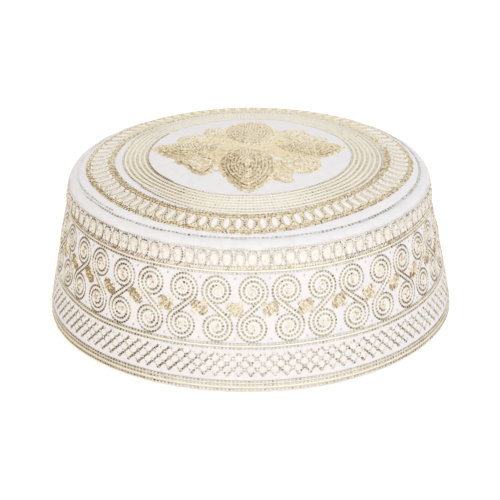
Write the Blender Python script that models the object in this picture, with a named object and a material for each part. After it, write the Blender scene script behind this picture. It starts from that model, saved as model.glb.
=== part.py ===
"""Embroidered cotton kufi: a round cap with a shallow domed crown, a rolled edge and a flared band.

Metres, +Z up, the front towards -Y. The cap stands on its rim with the origin at the centre of
the ring that it rests on. Every piece is cloth, turned about the Z axis.
"""

import math
from dataclasses import dataclass

import bmesh
import bpy

# Outside of the side band
RIM_RADIUS = 0.0940  # at the foot of the hem
SEAM_RADIUS = 0.0832  # at the top, under the rolled edge
SEAM_HEIGHT = 0.0633
WALL_BULGE = 0.0012  # how far the wall swells out at half height

# Top of the crown
CROWN_HEIGHT = 0.0772  # at the centre
STITCH_RADIUS = 0.0789  # the topstitched ring where the rolled edge starts
DOME_DROP = 0.00895  # fall of the dome from the centre to that ring
DOME_SOFTNESS = 0.5  # share of the radius over which the top of the dome is round
ROLL_DROP = 0.00165  # further fall where the cloth turns down to the ring
ROLL_SHARPNESS = 20  # how close to the ring that turn is

# Cloth
CLOTH = 0.0020
GAP = 0.0003  # between neighbouring pieces
WELT_HALF_WIDTH = 0.0025  # half the rolled edge, down its slope
WELT_HALF_THICKNESS = 0.00145
WELT_SINK = 0.0002  # the roll's middle below the line from the ring to the seam
HEM_HEIGHT = 0.0056
HEM_CLOTH = 0.0030  # folded cloth
HEM_ROUND = 0.0007  # rounding of the hem's folded edges
HEM_STEP = 0.0002  # the hem stands this far proud of the band

# Fineness
TURN_STEPS = 80
CROWN_STEPS = 11
WALL_STEPS = 6
WELT_STEPS = 10

Point = tuple[float, float]


@dataclass(frozen=True)
class Cloth:
    """A woven finish: its name, linear colour and roughness."""

    name: str
    colour: tuple[float, float, float, float]
    roughness: float

    def material(self) -> bpy.types.Material:
        """Make the Principled BSDF material of this cloth."""
        made = bpy.data.materials.new(self.name)
        made.use_nodes = True
        shader = made.node_tree.nodes["Principled BSDF"]
        shader.inputs["Base Color"].default_value = self.colour
        shader.inputs["Roughness"].default_value = self.roughness
        shader.inputs["Metallic"].default_value = 0.0
        made.diffuse_color = self.colour
        return made


CROWN_CLOTH = Cloth("crown_cotton", (0.84, 0.80, 0.72, 1.0), 0.85)
WELT_CLOTH = Cloth("welt_cotton", (0.88, 0.87, 0.92, 1.0), 0.80)
BAND_CLOTH = Cloth("band_cotton", (0.82, 0.79, 0.76, 1.0), 0.85)
HEM_CLOTH_FINISH = Cloth("hem_cotton", (0.74, 0.68, 0.58, 1.0), 0.85)


def wall_radius(height: float) -> float:
    """Outside radius of the flared wall at a height above the rim."""
    share = height / SEAM_HEIGHT
    straight = RIM_RADIUS + (SEAM_RADIUS - RIM_RADIUS) * share
    return straight + WALL_BULGE * 4 * share * (1 - share)


def crown_height(radius: float) -> float:
    """Height of the crown's top surface at a distance from the cap's axis."""
    share = radius / STITCH_RADIUS
    dome = math.hypot(share, DOME_SOFTNESS) - DOME_SOFTNESS
    whole = math.hypot(1, DOME_SOFTNESS) - DOME_SOFTNESS
    return CROWN_HEIGHT - DOME_DROP * dome / whole - ROLL_DROP * share**ROLL_SHARPNESS


def spread(start: float, end: float, steps: int) -> list[float]:
    """Evenly spaced values from start to end, both included."""
    return [start + (end - start) * step / steps for step in range(steps + 1)]


def welt_centre() -> Point:
    """Middle of the rolled edge's section, as radius and height."""
    run = SEAM_RADIUS - STITCH_RADIUS
    fall = crown_height(STITCH_RADIUS) - SEAM_HEIGHT
    length = math.hypot(run, fall)
    inward = WELT_SINK + WELT_HALF_THICKNESS / 4
    middle_radius = (SEAM_RADIUS + STITCH_RADIUS) / 2
    middle_height = SEAM_HEIGHT + fall / 2
    return middle_radius - inward * fall / length, middle_height - inward * run / length


def welt_reach() -> Point:
    """Half the width and half the height that the tilted oval section takes up."""
    slope = math.atan2(crown_height(STITCH_RADIUS) - SEAM_HEIGHT, SEAM_RADIUS - STITCH_RADIUS)
    along = WELT_HALF_WIDTH
    across = WELT_HALF_THICKNESS
    width = math.hypot(along * math.cos(slope), across * math.sin(slope))
    height = math.hypot(along * math.sin(slope), across * math.cos(slope))
    return width, height


def crown_profile() -> list[Point]:
    """Section of the crown: out along the top, down its edge, and back under to the axis."""
    edge = welt_centre()[0] - welt_reach()[0] - GAP
    # The steps close up towards the edge, where the surface turns down.
    radii = [edge * math.sin(math.pi / 2 * share) for share in spread(0, 1, CROWN_STEPS)]
    top = [(radius, crown_height(radius)) for radius in radii]
    under = [(radius, crown_height(radius) - CLOTH) for radius in reversed(radii)]
    return top + under


def welt_profile() -> list[Point]:
    """Section of the rolled edge: an oval that leans down the shoulder of the cap."""
    radius, height = welt_centre()
    slope = -math.atan2(crown_height(STITCH_RADIUS) - SEAM_HEIGHT, SEAM_RADIUS - STITCH_RADIUS)
    section = []
    for step in range(WELT_STEPS):
        turn = -math.tau * step / WELT_STEPS
        along = WELT_HALF_WIDTH * math.cos(turn)
        across = WELT_HALF_THICKNESS * math.sin(turn)
        section.append(
            (
                radius + along * math.cos(slope) - across * math.sin(slope),
                height + along * math.sin(slope) + across * math.cos(slope),
            )
        )
    return section


def band_profile() -> list[Point]:
    """Section of the side band: down its outside and up its inside."""
    top = welt_centre()[1] - welt_reach()[1] - GAP
    foot = HEM_HEIGHT + GAP
    heights = spread(top, foot, WALL_STEPS)
    outside = [(wall_radius(height), height) for height in heights]
    inside = [(wall_radius(height) - CLOTH, height) for height in reversed(heights)]
    return outside + inside


def hem_profile() -> list[Point]:
    """Section of the folded hem: rounded folds, and a flat foot that the cap rests on."""
    outer_top = wall_radius(HEM_HEIGHT) + HEM_STEP
    outer_foot = RIM_RADIUS
    inner_top = outer_top - HEM_CLOTH
    inner_foot = outer_foot - HEM_CLOTH
    return [
        (outer_top - HEM_ROUND, HEM_HEIGHT),
        (outer_top, HEM_HEIGHT - HEM_ROUND),
        (outer_foot, HEM_ROUND),
        (outer_foot - HEM_ROUND / 3, HEM_ROUND / 4),
        (outer_foot - HEM_ROUND, 0.0),
        (inner_foot + HEM_ROUND, 0.0),
        (inner_foot, HEM_ROUND),
        (inner_top, HEM_HEIGHT - HEM_ROUND),
        (inner_top + HEM_ROUND, HEM_HEIGHT),
    ]


def turned(name: str, profile: list[Point], is_ring: bool, cloth: Cloth) -> bpy.types.Object:
    """Turn a section about the Z axis into one closed piece of cloth.

    Args:
        name: Name of the piece.
        profile: Radius and height of each corner, top to bottom on the outer side.
        is_ring: Whether the section is a closed outline clear of the axis. Otherwise its two
            ends lie on the axis.
        cloth: Finish of the piece.

    Returns:
        The new object, with a Screw modifier that turns it.
    """
    section = bmesh.new()
    corners = [section.verts.new((radius, 0.0, height)) for radius, height in profile]
    for start, end in zip(corners, corners[1:]):
        section.edges.new((start, end))
    if is_ring:
        section.edges.new((corners[-1], corners[0]))
    mesh = bpy.data.meshes.new(name)
    section.to_mesh(mesh)
    section.free()
    mesh.materials.append(cloth.material())

    piece = bpy.data.objects.new(name, mesh)
    bpy.context.scene.collection.objects.link(piece)
    turn = piece.modifiers.new("turn", "SCREW")
    turn.axis = "Z"
    turn.steps = TURN_STEPS
    turn.render_steps = TURN_STEPS
    turn.use_smooth_shade = True
    turn.use_merge_vertices = True
    turn.merge_threshold = 1e-5
    return piece


def main() -> None:
    """Build the cap's four pieces under one empty."""
    for old in list(bpy.data.objects):
        bpy.data.objects.remove(old)
    cap = bpy.data.objects.new("kufi", None)
    cap.empty_display_size = RIM_RADIUS
    bpy.context.scene.collection.objects.link(cap)
    pieces = [
        turned("crown_panel", crown_profile(), False, CROWN_CLOTH),
        turned("crown_welt", welt_profile(), True, WELT_CLOTH),
        turned("side_band", band_profile(), True, BAND_CLOTH),
        turned("hem_band", hem_profile(), True, HEM_CLOTH_FINISH),
    ]
    for piece in pieces:
        piece.parent = cap


main()
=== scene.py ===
"""A white cotton kufi, embroidered all over in cream and gold thread, dressed over its solids.

The cap is four pieces of cloth: a domed crown, the rolled edge round it, the flared side band and
the folded hem. Every stitch is a small closed form that dips into the cloth at both ends. Motifs
are marked out on the flattened cloth in metres and laid on the cap's own curved outside.
"""

from __future__ import annotations

import logging
import math
from collections.abc import Callable
from dataclasses import dataclass, field, replace
from enum import Enum
from typing import Any

import bpy
import numpy as np
from mathutils import Matrix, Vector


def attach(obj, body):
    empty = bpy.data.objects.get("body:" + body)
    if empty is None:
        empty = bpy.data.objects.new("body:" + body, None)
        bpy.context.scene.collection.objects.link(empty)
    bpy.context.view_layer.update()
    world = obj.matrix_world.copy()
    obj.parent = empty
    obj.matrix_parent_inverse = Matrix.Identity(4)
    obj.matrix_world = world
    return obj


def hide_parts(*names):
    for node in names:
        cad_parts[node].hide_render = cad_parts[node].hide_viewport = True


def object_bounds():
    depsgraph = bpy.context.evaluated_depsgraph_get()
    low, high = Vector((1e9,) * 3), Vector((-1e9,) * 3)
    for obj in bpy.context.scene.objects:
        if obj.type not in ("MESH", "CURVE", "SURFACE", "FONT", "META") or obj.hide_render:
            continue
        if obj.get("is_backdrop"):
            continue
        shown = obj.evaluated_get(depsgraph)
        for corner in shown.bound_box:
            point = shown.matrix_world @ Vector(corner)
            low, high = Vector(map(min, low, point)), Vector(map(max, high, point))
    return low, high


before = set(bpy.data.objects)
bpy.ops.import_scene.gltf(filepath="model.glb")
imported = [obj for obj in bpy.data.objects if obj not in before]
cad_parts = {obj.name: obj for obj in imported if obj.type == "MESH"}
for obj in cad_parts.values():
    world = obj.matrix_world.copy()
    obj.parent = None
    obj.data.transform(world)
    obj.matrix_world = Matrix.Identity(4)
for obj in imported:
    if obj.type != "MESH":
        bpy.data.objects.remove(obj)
SOLID_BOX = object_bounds()

LOG = logging.getLogger("kufi")
MM = 0.001
STUDIO_GAIN = 1.22  # how much brighter than paper white the studio's light is
Array = np.ndarray
Colour = tuple[int, int, int]
Pair = tuple[float, float]
Triple = tuple[float, float, float]

# Directions on flat cloth
ALONG = np.array([1.0, 0.0])
UP = np.array([0.0, 1.0])

# Where the key light hangs and what it points at, and the way from there to it. Stitch colours are
# painted by the way each runs against it: paler across it, a painted sheen, and deeper along it,
# painted shade, as polished thread looks under this lamp.
KEY_LIGHT = (0.135, -1.976, 1.095)
KEY_AIM = (0.0, 0.0, 0.04)
GLINT = np.subtract(KEY_LIGHT, KEY_AIM) / math.dist(KEY_LIGHT, KEY_AIM)


def linear(colour: Colour) -> Array:
    """Turn a colour as it looks under the studio's light, 0 to 255, into the cloth's own.

    The curve between a screen's values and light is the usual one.
    """
    share = np.asarray(colour, float) / 255
    light = np.where(share <= 0.04045, share / 12.92, ((share + 0.055) / 1.055) ** 2.4)
    return light / STUDIO_GAIN


def blend(low: Array, high: Array, share: Array) -> Array:
    """Mix two values or colours by a share."""
    return low + (high - low) * share


def smooth(value: Array, low: float, high: float) -> Array:
    """Ease from 0 at low to 1 at high."""
    share = np.clip((value - low) / (high - low), 0, 1)
    return share * share * (3 - 2 * share)


def unit(vectors: Array) -> Array:
    """Vectors scaled to length one."""
    return vectors / np.maximum(np.linalg.norm(vectors, axis=-1, keepdims=True), 1e-12)


# The cap's outside


@dataclass(frozen=True)
class CapShape:
    """Outline of the cap, turned about the upright axis, in metres."""

    rim_radius: float = 0.0940
    seam_radius: float = 0.0832
    seam_height: float = 0.0633
    wall_bulge: float = 0.0012
    crown_top: float = 0.0772
    stitch_radius: float = 0.0789
    dome_drop: float = 0.00895
    dome_softness: float = 0.5
    roll_drop: float = 0.00165
    roll_sharpness: int = 20
    draft_radius: float = 0.0900

    def wall_radius(self, height: Array) -> Array:
        """Outside radius of the flared wall at heights above the rim."""
        share = height / self.seam_height
        straight = self.rim_radius + (self.seam_radius - self.rim_radius) * share
        return straight + self.wall_bulge * 4 * share * (1 - share)

    def wall_slope(self, height: Array) -> Array:
        """How fast that radius changes with height."""
        share = height / self.seam_height
        lean = self.seam_radius - self.rim_radius + self.wall_bulge * 4 * (1 - 2 * share)
        return lean / self.seam_height

    def crown_height(self, radius: Array) -> Array:
        """Height of the crown's top at distances from the axis."""
        share = radius / self.stitch_radius
        dome = np.hypot(share, self.dome_softness) - self.dome_softness
        whole = math.hypot(1, self.dome_softness) - self.dome_softness
        fall = self.dome_drop * dome / whole
        return self.crown_top - fall - self.roll_drop * share**self.roll_sharpness

    def crown_slope(self, radius: Array) -> Array:
        """How fast that height changes with the distance."""
        share = radius / self.stitch_radius
        whole = math.hypot(1, self.dome_softness) - self.dome_softness
        dome = self.dome_drop * share / np.hypot(share, self.dome_softness) / whole
        turn = self.roll_drop * self.roll_sharpness * share ** (self.roll_sharpness - 1)
        return -(dome + turn) / self.stitch_radius


CAP = CapShape()


@dataclass(frozen=True)
class Slackness:
    """How far hand-sewn cloth stands in and out of its true shape, as a few slow waves.

    Its tuck draws the two sides in between the rim and the crown.
    """

    depth: float
    turns: tuple[int, ...]
    climbs: tuple[float, ...]
    starts: tuple[float, ...]
    tuck: float = 0.0

    def at(self, angle: Array, along: Array) -> Array:
        """Distance off the true shape.

        Args:
            angle: Angle round the cap.
            along: Place up the wall or out from the axis, 0 to 1.

        Returns:
            Distance outwards, in metres.
        """
        total = np.zeros(np.broadcast(angle, along).shape)
        for turn, climb, start in zip(self.turns, self.climbs, self.starts):
            total = total + np.cos(turn * angle + start) * np.cos(climb * along + 2 * start)
        at_side = smooth(np.abs(np.sin(angle)), 0.6, 1.0)
        midway = smooth(along, 0.0, 0.55) * (1 - smooth(along, 0.78, 0.98))
        return self.depth * total / len(self.turns) - self.tuck * at_side * midway


WALL_SLACK = Slackness(
    0.00045, (3, 5, 8, 13), (2.0, 4.0, 5.5, 7.0), (0.4, 1.9, 3.3, 5.1), 0.0014
)
CROWN_SLACK = Slackness(0.00050, (2, 3, 5, 9), (3.0, 4.5, 6.0, 8.0), (0.9, 2.6, 4.4, 0.2))


def wall_slack(angle: Array, height: Array) -> Array:
    """How far the wall's cloth stands off its true shape."""
    return WALL_SLACK.at(angle, height / CAP.seam_height)


def crown_slack(angle: Array, radius: Array) -> Array:
    """How far the crown's cloth stands off its true shape, which fades at its middle and edge."""
    share = radius / CAP.stitch_radius
    slack = CROWN_SLACK.at(angle, share) * smooth(share, 0.0, 0.4)
    return slack * (1 - smooth(share, 0.85, 1.0))


class Surface:
    """The outside of a piece of cloth, marked out flat in metres."""

    turn: float = 0.0  # the run of a level line all the way round

    def base(self, flat: Array) -> Array:
        """Points of the cloth at marks on it, one row each."""
        raise NotImplementedError

    def normal(self, flat: Array) -> Array:
        """Directions straight out of the cloth at marks on it."""
        raise NotImplementedError

    def place(self, flat: Array, lift: Array | float = 0.0) -> Array:
        """Points at a distance above the cloth over marks on it."""
        return self.base(flat) + self.normal(flat) * np.asarray(lift)[..., None]


class Wall(Surface):
    """The flared side: marks are the run round it at the draft radius, and the height."""

    turn = math.tau * CAP.draft_radius

    def base(self, flat: Array) -> Array:
        """Points of the wall, with 0 at the front and the run growing to the wearer's left."""
        angle = flat[..., 0] / CAP.draft_radius
        height = flat[..., 1]
        radius = CAP.wall_radius(height) + wall_slack(angle, height)
        return np.stack([radius * np.sin(angle), -radius * np.cos(angle), height], axis=-1)

    def normal(self, flat: Array) -> Array:
        """Directions straight out of the wall."""
        angle = flat[..., 0] / CAP.draft_radius
        slope = CAP.wall_slope(flat[..., 1])
        return unit(np.stack([np.sin(angle), -np.cos(angle), -slope], axis=-1))


class Crown(Surface):
    """The domed top: marks are x and y as seen from above."""

    def base(self, flat: Array) -> Array:
        """Points of the crown."""
        radius = np.hypot(flat[..., 0], flat[..., 1])
        height = CAP.crown_height(radius) + crown_slack(azimuth(flat), radius)
        return np.stack([flat[..., 0], flat[..., 1], height], axis=-1)

    def normal(self, flat: Array) -> Array:
        """Directions straight out of the crown."""
        radius = np.maximum(np.hypot(flat[..., 0], flat[..., 1]), 1e-9)
        slope = CAP.crown_slope(radius)
        lean = -flat / radius[..., None] * slope[..., None]
        return unit(np.concatenate([lean, np.ones(lean.shape[:-1] + (1,))], axis=-1))


WALL = Wall()
CROWN = Crown()


# Marking out on flat cloth


def spaced(line: Array, step: float, closed: bool = False, turn: float = 0.0) -> Array:
    """Put evenly spaced points along a line.

    Args:
        line: Corners of the line, one row each.
        step: Distance wanted between the points. It is rounded to fit.
        closed: Whether the last corner runs on to the first.
        turn: How far the first corner has moved along the run once the line comes round to it.

    Returns:
        Points from the first corner to the last. A closed line repeats its first point.
    """
    if closed:
        line = np.concatenate([line, line[:1] + [turn, 0.0]])
    runs = np.linalg.norm(np.diff(line, axis=0), axis=1)
    reach = np.concatenate([[0.0], np.cumsum(runs)])
    count = max(1, round(reach[-1] / step))
    wanted = np.linspace(0, reach[-1], count + 1)
    return np.stack([np.interp(wanted, reach, line[:, k]) for k in range(2)], axis=1)


def rounded(corners: list[Pair], steps: int = 8) -> Array:
    """Pass a smooth closed curve through corners.

    Args:
        corners: The corners, in millimetres.
        steps: Points from each corner to the next.

    Returns:
        Marks of the curve, in metres.
    """
    ring = np.array(corners) * MM
    before, after, later = np.roll(ring, 1, 0), np.roll(ring, -1, 0), np.roll(ring, -2, 0)
    out = []
    for share in np.arange(steps) / steps:
        square, cube = share**2, share**3
        out.append(
            0.5
            * (
                2 * ring
                + (after - before) * share
                + (2 * before - 5 * ring + 4 * after - later) * square
                + (3 * ring - before - 3 * after + later) * cube
            )
        )
    return np.stack(out, axis=1).reshape(-1, 2)


def round_wall(height: float, count: int = 360) -> Array:
    """Marks of a level line round the wall, from the back and round to it."""
    run = np.linspace(-math.pi, math.pi, count, endpoint=False) * CAP.draft_radius
    return np.stack([run, np.full(count, height)], axis=1)


def heading(angle: Array | float) -> Array:
    """Directions at angles from x, anticlockwise."""
    return np.stack([np.cos(angle), np.sin(angle)], axis=-1)


def polar(angle: Array | float, radius: Array | float = 1.0) -> Array:
    """Marks on the crown at angles from the front, towards the right, and radii."""
    return np.stack([radius * np.sin(angle), -radius * np.cos(angle)], axis=-1)


def azimuth(marks: Array) -> Array:
    """The angle from the front, towards the right, of marks on the crown."""
    return np.arctan2(marks[..., 0], -marks[..., 1])


def around(count: int, offset: float = 0.0) -> Array:
    """Angles of equal places round the cap in radians, the first at an offset in degrees."""
    return np.radians(offset) + np.arange(count) * math.tau / count


def from_front(angle: float) -> float:
    """An angle round the cap as one from -pi to pi."""
    return (angle + math.pi) % math.tau - math.pi


EASE_STEP = 2.0  # degrees between the places where a profile is eased
EASE_REACH = 6  # how many such steps to each side its easing takes in
RING_CORNERS = 240


class Profile:
    """A value that changes smoothly round the cap, set at a few angles from the front."""

    def __init__(self, *stations: Pair) -> None:
        """Keep the stations, each an angle in degrees and the value there."""
        self.stations = stations

    def at(self, angle: Array | float) -> Array:
        """The value at angles, eased between the stations.

        Args:
            angle: Angles from the front, in radians.

        Returns:
            The value at each.
        """
        place, value = np.array(self.stations).T
        place = np.concatenate([place - 360, place, place + 360])
        value = np.tile(value, 3)
        fine = np.arange(-360, 361, EASE_STEP)
        window = np.hanning(2 * EASE_REACH + 1)
        padded = np.pad(np.interp(fine, place, value), EASE_REACH, mode="wrap")
        eased = np.convolve(padded, window / window.sum(), "valid")
        wanted = (np.degrees(angle) + 180) % 360 - 180
        return np.interp(wanted, fine, eased)


def ring_marks(radius: float, drift: Profile, share: float = 1.0) -> Array:
    """Marks of a crown ring that strays outwards by a share of a drift in millimetres."""
    angle = around(RING_CORNERS)
    return polar(angle, radius + drift.at(angle) * MM * share)


# Finishes


class Wire:
    """One output of a finish's nodes. Arithmetic on it adds Math nodes."""

    def __init__(self, recipe: Recipe, socket: bpy.types.NodeSocket) -> None:
        """Keep the recipe and the socket."""
        self.recipe = recipe
        self.socket = socket

    def out(self, name: str) -> Wire:
        """Another output of the same node."""
        return Wire(self.recipe, self.socket.node.outputs[name])

    def maths(self, operation: str, *values: Wire | float, clamp: bool = False) -> Wire:
        """Add one Math node, by Blender's name of its operation, and hand back its result."""
        settings = {"operation": operation, "use_clamp": clamp}
        return self.recipe.node("ShaderNodeMath", settings, dict(enumerate(values)))

    def __add__(self, other: Wire | float) -> Wire:
        """Sum."""
        return self.maths("ADD", self, other)

    __radd__ = __add__

    def __mul__(self, other: Wire | float) -> Wire:
        """Product."""
        return self.maths("MULTIPLY", self, other)

    __rmul__ = __mul__

    def sine(self) -> Wire:
        """Sine."""
        return self.maths("SINE", self)


class Recipe:
    """The nodes of one finish, round a Principled BSDF."""

    def __init__(self, name: str) -> None:
        """Start a material of this name."""
        self.material = bpy.data.materials.new(name)
        self.material.use_nodes = True
        self.tree = self.material.node_tree
        self.shader = self.tree.nodes["Principled BSDF"]

    def node(
        self,
        kind: str,
        settings: dict[str, Any] | None = None,
        sockets: dict[int | str, Any] | None = None,
        output: int | str = 0,
    ) -> Wire:
        """Add a node.

        Args:
            kind: Blender's name of its type.
            settings: Its properties, set first.
            sockets: Values or wires of its inputs.
            output: The output wanted.

        Returns:
            That output.
        """
        made = self.tree.nodes.new(kind)
        for key, value in (settings or {}).items():
            setattr(made, key, value)
        for key, value in (sockets or {}).items():
            self.join(made.inputs[key], value)
        return Wire(self, made.outputs[output])

    def join(self, socket: bpy.types.NodeSocket, value: Any) -> None:
        """Set a socket to a value, or feed it from a wire."""
        if isinstance(value, Wire):
            self.tree.links.new(value.socket, socket)
        else:
            socket.default_value = value

    def noise(self, where: Wire, scale: float, detail: float = 2.0) -> Wire:
        """Even noise from 0 to 1 over a position."""
        return self.node(
            "ShaderNodeTexNoise",
            sockets={"Vector": where, "Scale": scale, "Detail": detail, "Roughness": 0.55},
        )

    def mixed(self, share: Wire, low: Any, high: Any) -> Wire:
        """Mix two colours by a share."""
        made = self.node("ShaderNodeMix", {"data_type": "RGBA"}, {0: share, 6: low, 7: high})
        return Wire(self, made.socket.node.outputs[2])

    def bumped(self, height: Wire, distance: float, strength: float) -> Wire:
        """A normal bent by a height."""
        sockets = {"Height": height, "Distance": distance, "Strength": strength}
        return self.node("ShaderNodeBump", sockets=sockets)

    def finish(self, **sockets: Any) -> bpy.types.Material:
        """Set the shader's sockets, named with _ for each space, and hand back the material."""
        for key, value in sockets.items():
            self.join(self.shader.inputs[key.replace("_", " ")], value)
        return self.material


def rgba(colour: Colour) -> tuple[float, float, float, float]:
    """A colour as a socket takes it."""
    red, green, blue = linear(colour)
    return float(red), float(green), float(blue), 1.0


class Grain(Enum):
    """Which way a cloth's threads run."""

    ROUND = "round the cap and up it"
    ACROSS = "straight across the crown"


@dataclass(frozen=True)
class Cotton:
    """Bleached cotton: a plain weave, faint mottling and a soft nap."""

    name: str
    colour: Colour
    shade: Colour
    grain: Grain
    threads: float = 1900.0  # to the metre, each way
    patches: float = 260.0  # fineness of the mottling
    slubs: float = 1400.0  # fineness of the uneven yarn
    roughness: float = 0.78
    relief: float = 0.05 * MM

    def material(self) -> bpy.types.Material:
        """Make the cloth's material."""
        recipe = Recipe(self.name)
        where = recipe.node("ShaderNodeTexCoord", output="Object")
        x = recipe.node("ShaderNodeSeparateXYZ", sockets={0: where})
        y, z = x.out("Y"), x.out("Z")
        if self.grain is Grain.ROUND:
            warp = x.maths("ARCTAN2", x, y) * CAP.draft_radius
            weft = z
        else:
            warp, weft = x, y
        blotch = recipe.noise(where, self.patches, 3.0)
        mottle = blotch.maths("MULTIPLY_ADD", blotch, 3.0, -1.0, clamp=True)
        slub = recipe.noise(where, self.slubs)
        pitch = self.threads * math.pi
        weave = (warp * pitch).sine() * (weft * pitch).sine()
        height = weave * 0.5 + slub * 1.4
        colour = recipe.mixed(mottle, rgba(self.colour), rgba(self.shade))
        return recipe.finish(
            Base_Color=colour,
            Roughness=self.roughness + slub * 0.14,
            Normal=recipe.bumped(height, self.relief, 0.6),
            Sheen_Weight=0.12,
            Sheen_Roughness=0.6,
            Specular_IOR_Level=0.25,
        )


@dataclass(frozen=True)
class Thread:
    """Embroidery thread, pale as its painted sheen or deep as its painted shade, and the painted
    shade of the needle holes beside it.
    """

    pale: Colour
    deep: Colour
    hole_shade_pale: Colour = (226, 212, 182)
    hole_shade_deep: Colour = (104, 80, 46)

    def colour(self, depth: Array) -> Array:
        """The thread's colour at depths from 0, painted sheen, to 1, painted shade."""
        return blend(linear(self.pale), linear(self.deep), depth)

    def hole(self, depth: Array) -> Array:
        """The painted shade of its needle holes at depths from 0 to 1."""
        return blend(linear(self.hole_shade_pale), linear(self.hole_shade_deep), depth)


@dataclass(frozen=True)
class ThreadFinish:
    """Polished thread, coloured stitch by stitch from the mesh, which holds its painted sheen and
    shade.
    """

    name: str
    roughness: float
    shine: float
    fibres: float = 3200.0  # fineness of the twist
    wear: float = 420.0  # fineness of the worn patches
    relief: float = 0.05 * MM

    def material(self) -> bpy.types.Material:
        """Make the thread's material."""
        recipe = Recipe(self.name)
        shade = recipe.node("ShaderNodeAttribute", {"attribute_name": "shade"}, output="Color")
        where = recipe.node("ShaderNodeTexCoord", output="Object")
        fibre = recipe.noise(where, self.fibres)
        worn = recipe.noise(where, self.wear)
        darker = recipe.node(
            "ShaderNodeVectorMath",
            {"operation": "SCALE"},
            {0: shade, "Scale": 0.86 + fibre * 0.16 + worn * 0.12},
        )
        return recipe.finish(
            Base_Color=darker,
            Roughness=self.roughness + fibre * 0.15,
            Normal=recipe.bumped(fibre, self.relief, 0.5),
            Specular_IOR_Level=self.shine,
        )


# Joined forms


@dataclass
class Forms:
    """Many small closed forms, joined as one mesh."""

    name: str
    points: list[Array] = field(default_factory=list)
    faces: list[Array] = field(default_factory=list)
    shades: list[Array] = field(default_factory=list)
    cells: list[Array] = field(default_factory=list)
    count: int = 0
    forms: int = 0

    def add(self, points: Array, faces: Array, shades: Array, cells: Array | None = None) -> None:
        """Take in copies of one form, and turn its faces outwards.

        Args:
            points: Copies by points by 3.
            faces: Faces of one copy, with -1 as the fourth corner of a triangle.
            shades: Linear colours, copies by points by 3 or one for all.
            cells: Points by 2, where each lies in the copy's own square of the colour map.
        """
        copies, each = points.shape[:2]
        a, b, c, d = (points[0][faces[:, k]] for k in range(4))
        d = np.where(faces[:, 3:] < 0, a, d)
        middle = points[0].mean(axis=0)
        inward = np.einsum("ij,ij->", a - middle, np.cross(b - middle, c - middle))
        inward += np.einsum("ij,ij->", a - middle, np.cross(c - middle, d - middle))
        if inward < 0:
            faces = np.where(faces[:, 3:] < 0, faces[:, [2, 1, 0, 3]], faces[:, ::-1])
        step = (np.arange(copies) * each + self.count)[:, None, None]
        self.faces.append(np.where(faces[None] < 0, -1, faces[None] + step).reshape(-1, 4))
        self.points.append(points.reshape(-1, 3))
        self.shades.append(np.broadcast_to(shades, points.shape).reshape(-1, 3))
        if cells is not None:
            number = np.repeat(np.arange(copies) + self.forms, each)[:, None]
            self.cells.append(np.concatenate([number, np.tile(cells, (copies, 1))], axis=1))
        self.count += copies * each
        self.forms += copies

    def object(self, material: bpy.types.Material, ink: bool = True) -> bpy.types.Object:
        """Make the joined object.

        Args:
            material: Its finish.
            ink: Whether the forms' colours go with the mesh.

        Returns:
            The object, linked to the scene.
        """
        points = np.concatenate(self.points).astype(np.float32)
        faces = np.concatenate(self.faces)
        sides = (faces >= 0).sum(axis=1)
        corners = faces[faces >= 0].astype(np.int32)
        mesh = bpy.data.meshes.new(self.name)
        mesh.vertices.add(len(points))
        mesh.vertices.foreach_set("co", points.ravel())
        mesh.loops.add(len(corners))
        mesh.loops.foreach_set("vertex_index", corners)
        mesh.polygons.add(len(faces))
        starts = np.concatenate([[0], np.cumsum(sides)[:-1]]).astype(np.int32)
        mesh.polygons.foreach_set("loop_start", starts)
        mesh.update(calc_edges=True)
        mesh.polygons.foreach_set("use_smooth", np.ones(len(faces), bool))
        if ink:
            shades = np.concatenate(self.shades)
            held = mesh.attributes.new("shade", "FLOAT_COLOR", "POINT")
            full = np.concatenate([shades, np.ones((len(shades), 1))], axis=1)
            held.data.foreach_set("color", full.astype(np.float32).ravel())
        if self.cells:
            cells = np.concatenate(self.cells)
            across = math.ceil(math.sqrt(self.forms))
            column, row = cells[:, 0] % across, cells[:, 0] // across
            flat = np.stack([column + cells[:, 1], row + cells[:, 2]], axis=1) / across
            layer = mesh.uv_layers.new(name="OFBake")
            layer.data.foreach_set("uv", flat[corners].astype(np.float32).ravel())
        mesh.materials.append(material)
        mesh.validate()
        made = bpy.data.objects.new(self.name, mesh)
        bpy.context.scene.collection.objects.link(made)
        return made


@dataclass(frozen=True)
class Template:
    """A closed grain about the x axis: where its points are, how much painted shade each end takes,
    its faces.
    """

    points: Array
    ends: Array
    faces: Array

    @staticmethod
    def grain(rings: tuple[tuple[float, float, float, float], ...], sides: int) -> Template:
        """Build a grain between two tips.

        Args:
            rings: Each ring's place from -1 to 1, size, rise and how much of the painted shade at
                the
            ends it takes. The first and the last have no size and are the tips.
            sides: Points round each ring.

        Returns:
            The template.
        """
        angle = np.arange(sides) * math.tau / sides + math.pi / 2
        points, ends = [], []
        for place, size, rise, end in rings:
            for turn in angle if size else angle[:1]:
                points.append((place, size * math.cos(turn), rise + size * math.sin(turn)))
                ends.append(end)
        faces = []
        middle = len(rings) - 2
        for k in range(sides):
            after = (k + 1) % sides
            faces.append((0, 1 + after, 1 + k, -1))
            for ring in range(middle - 1):
                low, high = 1 + ring * sides, 1 + (ring + 1) * sides
                faces.append((low + k, low + after, high + after, high + k))
            last = 1 + (middle - 1) * sides
            faces.append((last + k, last + after, len(points) - 1, -1))
        return Template(np.array(points), np.array(ends), np.array(faces))


STITCH = Template.grain(
    (
        (-1.0, 0.0, -0.8, 1.0), (-0.45, 0.95, 0.0, 0.12), (0.45, 0.95, 0.0, 0.12),
        (1.0, 0.0, -0.8, 1.0),
    ),
    5,
)
PIT = Template.grain(((-1.0, 0.0, 0.0, 1.0), (0.35, 1.0, 0.0, 1.0), (1.0, 0.0, 0.0, 1.0)), 6)


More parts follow.
